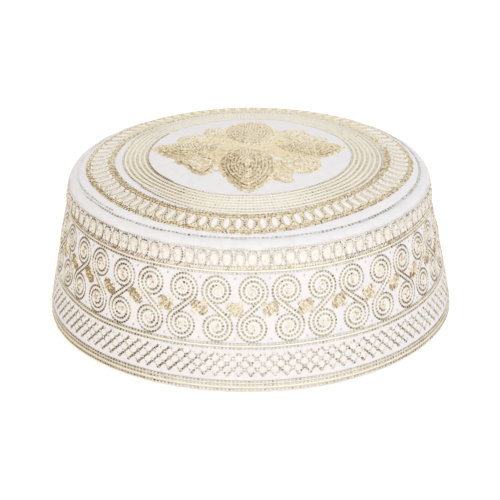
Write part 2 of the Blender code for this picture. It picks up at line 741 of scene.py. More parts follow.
@dataclass(frozen=True)
class Stitch:
    """How a line is sewn: the thread's size, how long and how close the stitches are."""

    thread: Thread
    width: float = 0.78 * MM
    height: float = 0.30 * MM
    period: float = 1.55 * MM
    cover: float = 0.62
    hole: float = 0.84 * MM
    stretch: float = 1.0
    lift: float = 0.0
    tone: float = 0.0
    spread: float = 0.16


# Painted shade of the thread by the angle from the front: how much of its deep tone it takes. It is
# given at a few angles: the most at the front left and the least at the back.
PAINTED_SHADE_ROUND = Profile(
    (-130, 0.5), (-98, 0.45), (-82, 0.72), (-64, 1.35), (-40, 1.3), (-20, 1.05), (0, 0.75),
    (20, 0.85), (45, 0.85), (62, 0.75), (78, 0.7), (98, 0.6), (130, 0.4), (180, 0.35),
)

ACROSS_LIGHT = 0.12  # up to this share of its run towards the light, thread is at its palest
WITH_LIGHT = 0.80  # from this share on, it is at its deepest


def painted_thread_shade(along: Array, place: Array) -> Array:
    """Painted sheen and shade of thread, by where it lies and how it runs: 0, palest, across the
    light.
    """
    loss = smooth(np.abs(unit(along) @ GLINT), ACROSS_LIGHT, WITH_LIGHT)
    return loss * PAINTED_SHADE_ROUND.at(azimuth(place))


def laid(centre: Array, ways: tuple[Array, ...], reach: tuple[Array, ...]) -> Array:
    """Points of small forms set about their centres.

    Args:
        centre: Centres, one row each.
        ways: Directions, each with a row for each centre.
        reach: How far the points of each form go along each direction.

    Returns:
        Centres by points by 3.
    """
    points = centre[:, None]
    for way, far in zip(ways, reach):
        points = points + way[:, None] * far[..., None]
    return points


def in_cell(shape: Array) -> Array:
    """Where a form's points lie in its own square of the colour map, clear of the edges."""
    return 0.5 + 0.4 * shape


@dataclass
class Handwork:
    """What is sewn on one surface, joined as one piece."""

    name: str
    surface: Surface
    forms: Forms = field(init=False)

    def __post_init__(self) -> None:
        """Start with nothing sewn."""
        self.forms = Forms(self.name)

    def object(self, finish: bpy.types.Material) -> bpy.types.Object:
        """Make the joined piece."""
        return self.forms.object(finish)


THREAD_WANDER = 0.10  # how much a stitch's thickness varies, as a share
HOLE_WANDER = 0.15  # the same for a needle hole's size
HOLE_DEPTH = 0.16 * MM
# A stitch's end takes painted shade where it dips into the cloth, from its hole's colour.
END_SHADE = 0.8  # how much of its hole's colour a stitch's end takes


@dataclass
class Needlework(Handwork):
    """Stitches of one kind on one surface.

    It adds painted shade and light by place, and uneven patches, to the depth of colour at marks.
    It also sets how much the painted sheen and shade by the thread's lie count.
    """

    seed: int
    shade_and_mottle: Callable[[Array], Array] | None = None
    sheen_share: float = 1.0
    draw: np.random.Generator = field(init=False)

    def __post_init__(self) -> None:
        """Start with no stitches, and with the seed's own random draws."""
        super().__post_init__()
        self.draw = np.random.default_rng(self.seed)

    def depth(self, along: Array, centre: Array, marks: Array, how: Stitch, tone: float) -> Array:
        """How deep the colour of each stitch is, with its painted sheen and shade.

        Args:
            along: The way each runs.
            centre: Where each lies.
            marks: Where each lies on the flat cloth.
            how: The thread.
            tone: Added depth of colour.

        Returns:
            From 0, pale, to 1, deep.
        """
        depth = painted_thread_shade(along, centre) * self.sheen_share + how.tone + tone
        if self.shade_and_mottle is not None:
            depth = depth + self.shade_and_mottle(marks)
        return np.clip(depth + self.draw.normal(0, how.spread, len(marks)), 0, 1)[:, None]

    def sew(self, starts: Array, ends: Array, how: Stitch, tone: float = 0.0) -> None:
        """Lay one stitch from each start to each end.

        Args:
            starts: Marks where the needle comes up.
            ends: Marks where it goes down.
            how: The thread and its size.
            tone: Added depth of colour.
        """
        middle = (starts + ends) / 2
        first, last = self.surface.place(starts), self.surface.place(ends)
        centre = self.surface.place(middle, how.lift)
        normal = self.surface.normal(middle)
        along = unit(last - first)
        side = np.cross(normal, along)
        half = np.linalg.norm(last - first, axis=1) / 2
        jitter = 1 + self.draw.uniform(-THREAD_WANDER, THREAD_WANDER, (len(starts), 1))
        x, y, z = STITCH.points.T
        reach = (half[:, None] * x, jitter * how.width / 2 * y, how.height * jitter * z)
        points = laid(centre, (along, side, normal), reach)
        depth = self.depth(along, centre, middle, how, tone)
        # Each stitch's ends take painted shade where they dip into the cloth.
        share = (STITCH.ends * END_SHADE)[:, None]
        shades = blend(how.thread.colour(depth)[:, None], how.thread.hole(depth)[:, None], share)
        self.forms.add(points, STITCH.faces, shades, in_cell(STITCH.points[:, :2]))

    def pits(self, marks: Array, onward: Array, how: Stitch, tone: float = 0.0) -> None:
        """Set a small dark form at each mark, the painted shade of a needle hole.

        Args:
            marks: Where the holes are.
            onward: The line's direction on the flat cloth, at each or for all.
            how: The thread and the size of the hole.
            tone: Added depth of colour.
        """
        centre = self.surface.place(marks, how.lift)
        normal = self.surface.normal(marks)
        along = unit(self.surface.place(marks + onward * 0.1 * MM) - self.surface.place(marks))
        side = np.cross(normal, along)
        wander = self.draw.uniform(-HOLE_WANDER, HOLE_WANDER, (len(marks), 1))
        size = how.hole / 2 * (1 + wander)
        x, y, z = PIT.points.T
        reach = (size * how.stretch * z, size * y, HOLE_DEPTH * x)
        points = laid(centre, (along, side, normal), reach)
        shades = how.thread.hole(self.depth(along, centre, marks, how, tone))[:, None]
        self.forms.add(points, PIT.faces, shades, in_cell(PIT.points[:, :0:-1]))

    def run(self, line: Array, how: Stitch, closed: bool = False, tone: float = 0.0) -> None:
        """Sew a running stitch along a line, with the painted shade of a needle hole between each
        two stitches.

        Args:
            line: Corners of the line, on the flat cloth.
            how: How it is sewn.
            closed: Whether it comes round to its start.
            tone: Added depth of colour.
        """
        marks = spaced(line, how.period, closed, self.surface.turn)
        here, there = marks[:-1], marks[1:]
        onward = unit(there - here)
        gap = (1 - how.cover) / 2
        self.sew(blend(here, there, gap), blend(here, there, 1 - gap), how, tone)
        if how.hole > 0:
            self.pits(here, onward, how, tone)


@dataclass
class Piping(Handwork):
    """Cords and padding sewn down on one surface."""

    thread: Thread
    sides: int = 5
    tip_dip: float = 0.6  # how deep a cord's tip goes into the cloth, as a share of its height

    def lay(
        self,
        line: Array,
        width: float,
        height: float,
        step: float = 1.0 * MM,
        closed: bool = False,
        tone: float = 0.0,
        bead: float = 0.0,
    ) -> None:
        """Lay one cord along a line.

        Args:
            line: Corners of the line, on the flat cloth.
            width: Its width on the cloth.
            height: How far it stands up.
            step: Length of each facet along it.
            closed: Whether it comes round to its start.
            tone: Added depth of colour.
            bead: How much narrower it is at every other facet's end, with painted shade in the
                pinch.
        """
        marks = spaced(line, step, closed, self.surface.turn)
        if closed:
            marks = marks[:-1]
        count = len(marks)
        pinch = bead * (np.arange(count) % 2 == 0)[:, None]
        centre = self.surface.place(marks)
        normal = self.surface.normal(marks)
        if closed:
            along = unit(np.roll(centre, -1, 0) - np.roll(centre, 1, 0))
        else:
            along = unit(np.gradient(centre, axis=0))
        side = np.cross(normal, along)
        turn = np.arange(self.sides) * math.tau / self.sides + math.pi / 2
        reach = (width / 2 * (1 - pinch) * np.cos(turn), height * (1 - pinch) * np.sin(turn))
        points = laid(centre, (side, normal), reach).reshape(-1, 3)
        # Painted sheen and shade by the cord's lie, and painted shade in each pinch.
        depth = np.clip(painted_thread_shade(along, centre)[:, None] + tone + 2 * pinch, 0, 1)
        shade = self.thread.colour(depth)
        shades = np.repeat(shade, self.sides, axis=0)
        faces = []
        spans = count if closed else count - 1
        for k in range(self.sides):
            after = (k + 1) % self.sides
            low = np.arange(spans) * self.sides
            high = (np.arange(spans) + 1) % count * self.sides
            faces.append(np.stack([low + k, low + after, high + after, high + k], axis=1))
        if not closed:
            dip = height * self.tip_dip
            tips = [
                centre[0] - along[0] * height - normal[0] * dip,
                centre[-1] + along[-1] * height - normal[-1] * dip,
            ]
            points = np.concatenate([points, tips])
            shades = np.concatenate([shades, shade[:1], shade[-1:]])
            tip, last = count * self.sides, (count - 1) * self.sides
            for k in range(self.sides):
                after = (k + 1) % self.sides
                faces.append([[tip, after, k, -1], [last + k, last + after, tip + 1, -1]])
        self.forms.add(points[None], np.concatenate(faces), shades[None])

    def pad(
        self,
        rows: list[tuple[Array, float]],
        is_ring: bool,
        tone: float = 0.0,
        is_crosswise: bool = False,
    ) -> None:
        """Lay flat padding through matching closed lines.

        Args:
            rows: Each line with its height over the cloth, over the top and back underneath.
            is_ring: Whether the rows close on each other. Otherwise the first and the last
                close on their own middles.
            tone: Added depth of colour.
            is_crosswise: Whether its thread runs across the lines.
        """
        count = len(rows[0][0])
        points = [self.surface.place(line, lift) for line, lift in rows]
        along = np.concatenate([unit(np.roll(row, -1, 0) - np.roll(row, 1, 0)) for row in points])
        if is_crosswise:
            flat = np.concatenate([line for line, _ in rows])
            along = np.cross(self.surface.normal(flat), along)
        # Painted sheen and shade by the way the padding's thread runs.
        depth = np.clip(painted_thread_shade(along, np.concatenate(points)) + tone, 0, 1)[:, None]
        shade = self.thread.colour(depth)
        here, there = np.arange(count), (np.arange(count) + 1) % count
        faces = []
        spans = len(rows) if is_ring else len(rows) - 1
        for row in range(spans):
            low, high = row * count, (row + 1) % len(rows) * count
            faces.append(np.stack([low + here, low + there, high + there, high + here], axis=1))
        flat = np.concatenate(points)
        if not is_ring:
            tips = np.stack([points[0].mean(axis=0), points[-1].mean(axis=0)])
            none = np.full(count, -1)
            tip, last = np.full(count, len(flat)), (len(rows) - 1) * count
            faces.append(np.stack([there, here, tip, none], axis=1))
            faces.append(np.stack([last + here, last + there, tip + 1, none], axis=1))
            flat = np.concatenate([flat, tips])
            shade = np.concatenate([shade, shade[:2]])
        self.forms.add(flat[None], np.concatenate(faces), shade[None])


# Threads in use: painted sheen and painted shade, then the same of the needle holes' painted shade

CREAM = Thread((250, 245, 232), (194, 168, 124), (232, 222, 198), (70, 52, 32))
DOTTED = Thread((251, 245, 226), (192, 165, 116), (206, 194, 158), (66, 50, 28))
LEVEL = Thread((253, 250, 242), (222, 204, 170), (238, 231, 214), (84, 64, 42))
TWINE = Thread((251, 247, 236), (164, 144, 112), (230, 220, 196), (64, 50, 34))
LATH = Thread((252, 248, 238), (176, 157, 124), (230, 221, 200), (98, 82, 58))
BLOOM = Thread((255, 247, 226), (186, 155, 100), (243, 232, 200), (110, 80, 44))
GOLD = Thread((252, 245, 226), (218, 188, 126), (234, 219, 184), (110, 82, 42))
BRASS = Thread((251, 245, 226), (178, 138, 76), (226, 208, 164), (88, 62, 30))
BEIGE = Thread((251, 247, 234), (234, 220, 190), (238, 230, 208), (104, 82, 54))
BLUSH = Thread((253, 248, 242), (232, 216, 188), (236, 224, 204), (128, 104, 76))
LEAF = Thread((255, 249, 231), (220, 198, 150), (236, 220, 184), (124, 92, 48))
VEIN = Thread((250, 239, 211), (170, 134, 82), (236, 220, 186), (132, 98, 54))
CHANNEL = Thread((250, 247, 242), (244, 237, 226))
CORD = Thread((252, 248, 235), (248, 236, 208))
ROW_CORD = Thread((254, 250, 242), (248, 241, 226))
ROW_PAD = Thread((249, 245, 234), (240, 230, 210))
RING_PAD = Thread((251, 248, 240), (246, 236, 213))
PETAL_PAD = Thread((244, 233, 205), (234, 218, 182))
SAGE = Thread((240, 239, 236), (220, 219, 210), (226, 225, 220), (140, 137, 118))
DUSK = Thread((214, 217, 225), (188, 193, 203), (198, 203, 212), (150, 157, 168))
WHITE_SATIN = Thread((255, 251, 252), (255, 248, 243))
# A duller copy of the white satin: painted shade on the ovals at the back of the crown.
BACK_SHADED_SATIN = Thread((250, 243, 228), (244, 232, 206))
DROP_PAD = Thread((246, 241, 237), (236, 225, 210))


# Cloth


def stations(courses: tuple[tuple[float, float, int], ...]) -> Array:
    """Places along a section, in courses that each have a start, an end and a count."""
    return np.concatenate([np.linspace(start, end, count) for start, end, count in courses])


def groove(place: Array, middle: float, depth: float, width: float) -> Array:
    """How far stitches in a row at the middle pull the cloth in at places across it."""
    return depth * np.exp(-(((place - middle) / width) ** 2))


@dataclass(frozen=True)
class Turned:
    """A shape turned about the upright axis, from the points of its section.

    A ring's section closes on itself. Any other starts and ends on the axis.
    """

    name: str
    steps: int = 360
    is_ring: bool = True

    def section(self) -> Array:
        """Radius and height of the section's points."""
        raise NotImplementedError

    def pucker(self, angle: Array, section: Array) -> Array:
        """Distance out of the true shape, inwards on the inside, at angles and section points."""
        return 0 * angle

    def points(self) -> Array:
        """Points of the puckered shape, steps by section points by 3."""
        section = self.section()
        if self.is_ring:
            onward = np.roll(section, -1, 0) - np.roll(section, 1, 0)
        else:
            onward = np.gradient(section, axis=0)
        outward = unit(np.stack([-onward[:, 1], onward[:, 0]], axis=1))
        angle = np.broadcast_to(around(self.steps)[:, None], (self.steps, len(section)))
        off = self.pucker(angle, np.broadcast_to(section, (self.steps, *section.shape)))
        radius = section[:, 0] + outward[:, 0] * off
        height = section[:, 1] + outward[:, 1] * off
        return np.stack([radius * np.sin(angle), -radius * np.cos(angle), height], axis=-1)

    def faces(self, count: int) -> Array:
        """Faces between each two steps.

        Args:
            count: Points of the section.

        Returns:
            Four corners each, with -1 as the fourth of a triangle at the axis.
        """
        here = np.arange(count) if self.is_ring else np.arange(1, count - 2)
        there = (here + 1) % count
        low = np.arange(self.steps)[:, None] * count
        high = np.roll(low, -1, 0)
        sides = np.stack([low + here, high + here, high + there, low + there], axis=-1)
        sides = sides.reshape(-1, 4)
        if self.is_ring:
            return sides
        low, high = low[:, 0], high[:, 0]
        top, none = np.zeros(self.steps, int), np.full(self.steps, -1)
        before = count - 2
        fans = (
            np.stack([top, high + 1, low + 1, none], axis=1),
            np.stack([top + count - 1, low + before, high + before, none], axis=1),
        )
        return np.concatenate([sides, *fans])

    def object(self, material: bpy.types.Material) -> bpy.types.Object:
        """Make the object, with a single point at each end that lies on the axis.

        Args:
            material: Its finish.

        Returns:
            The object, linked to the scene.
        """
        points = self.points()
        count = points.shape[1]
        faces = self.faces(count)
        flat = points.reshape(-1, 3)
        if not self.is_ring:
            flat[0] = points[:, 0].mean(axis=0)
            flat[count - 1] = points[:, -1].mean(axis=0)
            used = np.unique(faces[faces >= 0])
            renumber = np.full(len(flat), -1)
            renumber[used] = np.arange(len(used))
            faces = np.where(faces < 0, -1, renumber[faces])
            flat = flat[used]
        forms = Forms(self.name)
        forms.add(flat[None], faces, np.ones(3))
        return forms.object(material, ink=False)


LATTICE_LOW = 8.0 * MM
LATTICE_HIGH = 18.4 * MM
LATTICE_REPEATS = 112


@dataclass(frozen=True)
class SideBand(Turned):
    """The flared wall of the cap.

    Its courses of points run down the outside: start, end and count.
    """

    name: str = "side_band_cotton"
    steps: int = 672
    courses: tuple[tuple[float, float, int], ...] = (
        (0.0640, 0.0610, 7), (0.0600, 0.0238, 25), (0.0230, 0.0052, 27),
    )
    inner_rows: int = 8
    cloth: float = 0.0019
    puff: float = 0.30 * MM
    pulled_rows: tuple[float, ...] = (63.0, 53.0, 22.2, 20.1)
    pull: float = 0.22 * MM
    pull_width: float = 0.9 * MM

    def section(self) -> Array:
        """Down the outside and up the inside."""
        heights = stations(self.courses)
        outside = np.stack([CAP.wall_radius(heights), heights], axis=1)
        inner = np.linspace(heights[-1], heights[0], self.inner_rows)
        inside = np.stack([CAP.wall_radius(inner) - self.cloth, inner], axis=1)
        return np.concatenate([outside, inside])

    def pucker(self, angle: Array, section: Array) -> Array:
        """Distance out of the wall: slack, quilted diamonds and pulled-in stitch rows."""
        radius, height = section[..., 0], section[..., 1]
        is_outside = radius > CAP.wall_radius(height) - self.cloth / 2
        slack = wall_slack(angle, height)
        run = angle * CAP.draft_radius
        pitch = WALL.turn / LATTICE_REPEATS
        rise = height - LATTICE_LOW
        up, down = (np.sin(math.pi * (rise + sign * run) / pitch) for sign in (1, -1))
        above = smooth(height, LATTICE_LOW, LATTICE_LOW + MM)
        below = 1 - smooth(height, LATTICE_HIGH - MM, LATTICE_HIGH)
        quilt = self.puff * np.abs(up * down) * (above * below)
        rows = [groove(height, row * MM, self.pull, self.pull_width) for row in self.pulled_rows]
        return np.where(is_outside, slack + quilt - sum(rows), -slack)


@dataclass(frozen=True)
class HemBand(Turned):
    """The folded hem that the cap stands on.

    Its pulled rows each have a height, a depth and a width in millimetres.
    """

    name: str = "hem_cotton_fold"
    height: float = 0.0056
    cloth: float = 0.0030
    fold: float = 0.0008
    proud: float = 0.0002
    lean: float = 0.001
    step: float = 0.8 * MM
    pulled_rows: tuple[Triple, ...] = ((1.5, 0.15, 0.7), (4.4, 0.15, 0.8))

    def section(self) -> Array:
        """A loop of cloth, rounded at its four folds, with points between its corners."""
        top = float(CAP.wall_radius(np.array(self.height))) + self.proud
        foot, fold = CAP.rim_radius, self.fold
        turn = heading(np.radians([0, 30, 60, 90]))
        loop = [(top - fold + fold * s, self.height - fold + fold * c) for c, s in turn]
        loop += [(foot - fold + fold * c, fold - fold * s) for c, s in turn]
        foot, top = foot - self.cloth, top - self.cloth
        loop += [(foot + fold - fold * s, fold - fold * c) for c, s in turn]
        loop += [(top + fold - fold * c, self.height - fold + fold * s) for c, s in turn]
        out = []
        for (r0, z0), (r1, z1) in zip(loop, loop[1:] + loop[:1]):
            parts = max(1, math.ceil(math.hypot(r1 - r0, z1 - z0) / self.step))
            out += [(r0 + (r1 - r0) * k / parts, z0 + (z1 - z0) * k / parts) for k in range(parts)]
        return np.array(out)

    def pucker(self, angle: Array, section: Array) -> Array:
        """Distance out of the hem: the slack of the wall, held still at the foot."""
        radius, height = section[..., 0], section[..., 1]
        is_outside = radius > CAP.rim_radius - self.cloth / 2 - self.lean
        slack = wall_slack(angle, height)
        rows = [groove(height, *(size * MM for size in row)) for row in self.pulled_rows]
        held = np.clip(height / MM, 0, 1)
        return np.where(is_outside, slack - sum(rows), -slack) * held


@dataclass(frozen=True)
class RolledEdge(Turned):
    """The plain rolled cloth between the topstitching and the wall."""

    name: str = "rolled_edge_cotton"
    half_width: float = 0.0030
    half_thickness: float = 0.0019
    sink: float = 0.00105
    sides: int = 24
    fold: float = 0.10 * MM
    folds: int = 23
    crease: float = 0.07 * MM
    creases: int = 41

    def section(self) -> Array:
        """An oval that lies along the slope from the crown to the wall."""
        run = CAP.seam_radius - CAP.stitch_radius
        fall = float(CAP.crown_height(np.array(CAP.stitch_radius))) - CAP.seam_height
        length = math.hypot(run, fall)
        cos, sin = run / length, -fall / length
        middle_r = (CAP.seam_radius + CAP.stitch_radius) / 2 + self.sink * sin
        middle_z = CAP.seam_height + fall / 2 - self.sink * cos
        along, across = (heading(-around(self.sides)) * [self.half_width, self.half_thickness]).T
        radius, height = along * cos - across * sin, along * sin + across * cos
        return np.stack([middle_r + radius, middle_z + height], axis=1)

    def pucker(self, angle: Array, section: Array) -> Array:
        """Distance out of the roll: slow folds where the cloth is eased round, and creases."""
        eased = self.folds * angle + 1.2 * np.sin(3 * angle)
        return self.fold * np.sin(eased) + self.crease * np.sin(self.creases * angle + 0.8)


@dataclass(frozen=True)
class CrownPanel(Turned):
    """The domed top of the cap.

    Its courses of points run outwards along the top: start, end and count.
    """

    name: str = "crown_panel_cotton"
    is_ring: bool = False
    courses: tuple[tuple[float, float, int], ...] = ((0.0, 0.0700, 36), (0.0710, 0.0796, 20))
    inner_rows: int = 12
    cloth: float = 0.0020
    step_back: float = 0.0006
    pull: float = 0.25 * MM
    pull_width: float = 0.7 * MM
    ripple: float = 0.12 * MM
    ripples: int = 58
    ripple_band: Pair = (74.5 * MM, 77 * MM)

    def section(self) -> Array:
        """Out along the top and back underneath."""
        radii = stations(self.courses)
        top = np.stack([radii, CAP.crown_height(radii)], axis=1)
        inner = np.linspace(radii[-1] - self.step_back, 0, self.inner_rows)
        under = np.stack([inner, CAP.crown_height(inner) - self.cloth], axis=1)
        return np.concatenate([top, under])

    def pucker(self, angle: Array, section: Array) -> Array:
        """Distance out of the crown: its slack, and the pull and ripples of the topstitching."""
        radius, height = section[..., 0], section[..., 1]
        is_top = height > CAP.crown_height(radius) - self.cloth / 2
        slack = crown_slack(angle, radius)
        pulled = groove(radius, CAP.stitch_radius, self.pull, self.pull_width)
        ripple = self.ripple * np.sin(self.ripples * angle + 2 * np.sin(5 * angle))
        ripple = ripple * smooth(radius, *self.ripple_band)
        return np.where(is_top, slack - pulled + ripple, -slack)


# Embroidery of the side band


@dataclass(frozen=True)
class ScrollBand:
    """Thirty-six linked double spirals round the wall, with a small flower between each two.

    Its profiles are painted shade and light by the angle round the cap, for flowers and scrolls.
    """

    repeats: int = 36
    first: float = 0.6
    middle: float = 37.35 * MM
    half_gap: float = 7.95 * MM
    outer: float = 6.1 * MM
    pitch: float = 1.98 * MM
    turns: float = 2.45
    channel: float = 1.95 * MM
    cord_width: float = 0.86 * MM
    cord_rise: float = 0.24 * MM
    eye_stitches: int = 11
    eye_reach: float = 0.95 * MM
    eye_length: float = 0.55 * MM
    upper_gilt_shade: float = 0.5
    flower_turn: float = 5.05
    flower_rise: float = 0.1 * MM
    lobe_turn: float = 40.0
    lobe_skew: float = 10.0
    lobe_radius: float = 2.15 * MM
    lobe_reach: float = 1.75 * MM
    lobe_strokes: int = 8
    stroke_slant: float = 0.3 * MM
    specks: int = 7
    speck_reach: Pair = (3.1 * MM, 2.6 * MM)
    knot_rises: Pair = (13.4 * MM, -13.1 * MM)
    flower_shade: Profile = Profile(
        (-95, -0.5), (-80, -0.3), (-68, -0.3), (-56, -0.12), (-30, -0.12), (-14, -0.1),
        (-6, 0.02), (16, 0.02), (30, -0.06), (40, -0.14), (62, -0.02), (74, -0.15), (90, -0.5),
    )
    gilt_shade: Profile = Profile(
        (-90, 0.1), (-66, 0.25), (-56, 0.32), (-44, 0.1), (-30, 0.0), (30, 0.0), (60, 0.12)
    )

    def arm(self) -> tuple[Array, Array]:
        """The centre line of the upper arm of a spiral pair, and its sideways directions."""
        turn = np.linspace(0, self.turns * math.tau, 160)
        radius = self.outer - self.pitch * turn / math.tau
        spoke = heading(turn - math.pi / 4)
        return UP * self.half_gap + radius[:, None] * spoke, spoke

    def lines(self) -> dict[str, list[Array]]:
        """Cord and stitch lines of one pair, about its middle."""
        coil, spoke = self.arm()
        half = self.channel / 2
        link = np.linspace(np.zeros(2), coil[0], 12)
        side = heading(-math.pi / 4)
        cord = np.concatenate([link[:-1], coil])
        outer = np.concatenate([link[:-1] + side * half, coil + spoke * half])
        inner = link - side * half
        upper = {"cord": [cord], "stitch": [outer, inner]}
        return {
            key: [part * sign for part in parts for sign in (1.0, -1.0)]
            for key, parts in upper.items()
        }

    def scroll_shade(self, marks: Array) -> Array:
        """The scrolls' painted shade at marks, by the angle round the cap, less of it on the upper
        ones.
        """
        share = np.where(marks[:, 1] < self.middle, 1.0, self.upper_gilt_shade)
        return self.gilt_shade.at(marks[:, 0] / CAP.draft_radius) * share

    def work(self, cords: Piping, sewing: Needlework, satin: Needlework) -> None:
        """Lay the cords, the running stitches and the flowers of every repeat.

        Args:
            cords: Takes the cords.
            sewing: Takes the running stitches.
            satin: Takes the eyes and the flowers.
        """
        lines = self.lines()
        how = Stitch(DOTTED, width=0.82 * MM, period=1.46 * MM, cover=0.5, hole=0.96 * MM,
                     stretch=0.9, spread=0.24)
        knot = Stitch(GOLD, width=0.85 * MM, height=0.34 * MM, tone=-0.02, spread=0.36)
        aside = math.radians(self.flower_turn) * CAP.draft_radius
        # The scrolls take painted shade and light by the angle round the cap.
        sewing.shade_and_mottle = self.scroll_shade
        for number, angle in enumerate(around(self.repeats, self.first)):
            turn = from_front(angle)
            mirror = np.array([1.0 if number % 2 == 0 else -1.0, 1.0])
            place = np.array([turn * CAP.draft_radius, self.middle])
            gilt_shade = float(self.gilt_shade.at(turn))
            for line in lines["cord"]:
                cords.lay(line * mirror + place, self.cord_width, self.cord_rise, tone=gilt_shade)
            for line in lines["stitch"]:
                sewing.run(line * mirror + place, how)
            for sign in (1.0, -1.0):
                spot, half = satin.draw.normal(0, 1, (2, self.eye_stitches, 2))
                spot = place + UP * sign * self.half_gap + spot * self.eye_reach
                half = half * self.eye_length
                satin.sew(spot - half, spot + half, knot, gilt_shade)
            # The flower takes painted shade and light by the angle round the cap.
            self.flower(satin, place + [aside, self.flower_rise], float(self.flower_shade.at(turn)))

    def flower(self, satin: Needlework, place: Array, tone: float) -> None:
        """Sew one four-lobed flower and the two grey knots over and under it.

        Args:
            satin: Takes the stitches.
            place: The flower's middle.
            tone: Added depth of colour.
        """
        how = Stitch(BLOOM, width=0.66 * MM, height=0.44 * MM, hole=0.6 * MM, spread=0.46)
        rungs = np.linspace(-0.88, 0.88, self.lobe_strokes)
        for quarter in range(4):
            is_odd = quarter % 2 == 1
            is_over = is_odd == (place[0] < 0)
            lobe = replace(how, lift=0.18 * MM if is_over else 0.0)
            axis = self.lobe_turn + 90 * quarter + (self.lobe_skew if is_odd else 0)
            onward = heading(math.radians(axis)) * [1.12, 0.98]
            across = onward[::-1] * [-1, 1] * (1.08 if is_over else 0.94)
            middle = place + onward * (self.lobe_reach + rungs[:, None] * self.lobe_radius)
            half = across * (np.sqrt(1 - rungs**2) * self.lobe_radius)[:, None]
            slant = onward * self.stroke_slant
            split = middle + half * satin.draw.uniform(-0.4, 0.4, (len(rungs), 1))
            satin.sew(middle - half - slant, split, lobe, tone)
            satin.sew(split, middle + half + slant, lobe, tone)
        spots = place + satin.draw.uniform(-1, 1, (self.specks, 2)) * self.speck_reach
        satin.pits(spots, ALONG, replace(how, lift=0.38 * MM, spread=0.2), tone)
        grey = Stitch(DUSK, width=1.15 * MM, height=0.34 * MM)
        for rise in self.knot_rises:
            spot = (place + UP * rise)[None]
            satin.sew(spot - ALONG * 0.5 * MM, spot + ALONG * 0.5 * MM, grey)


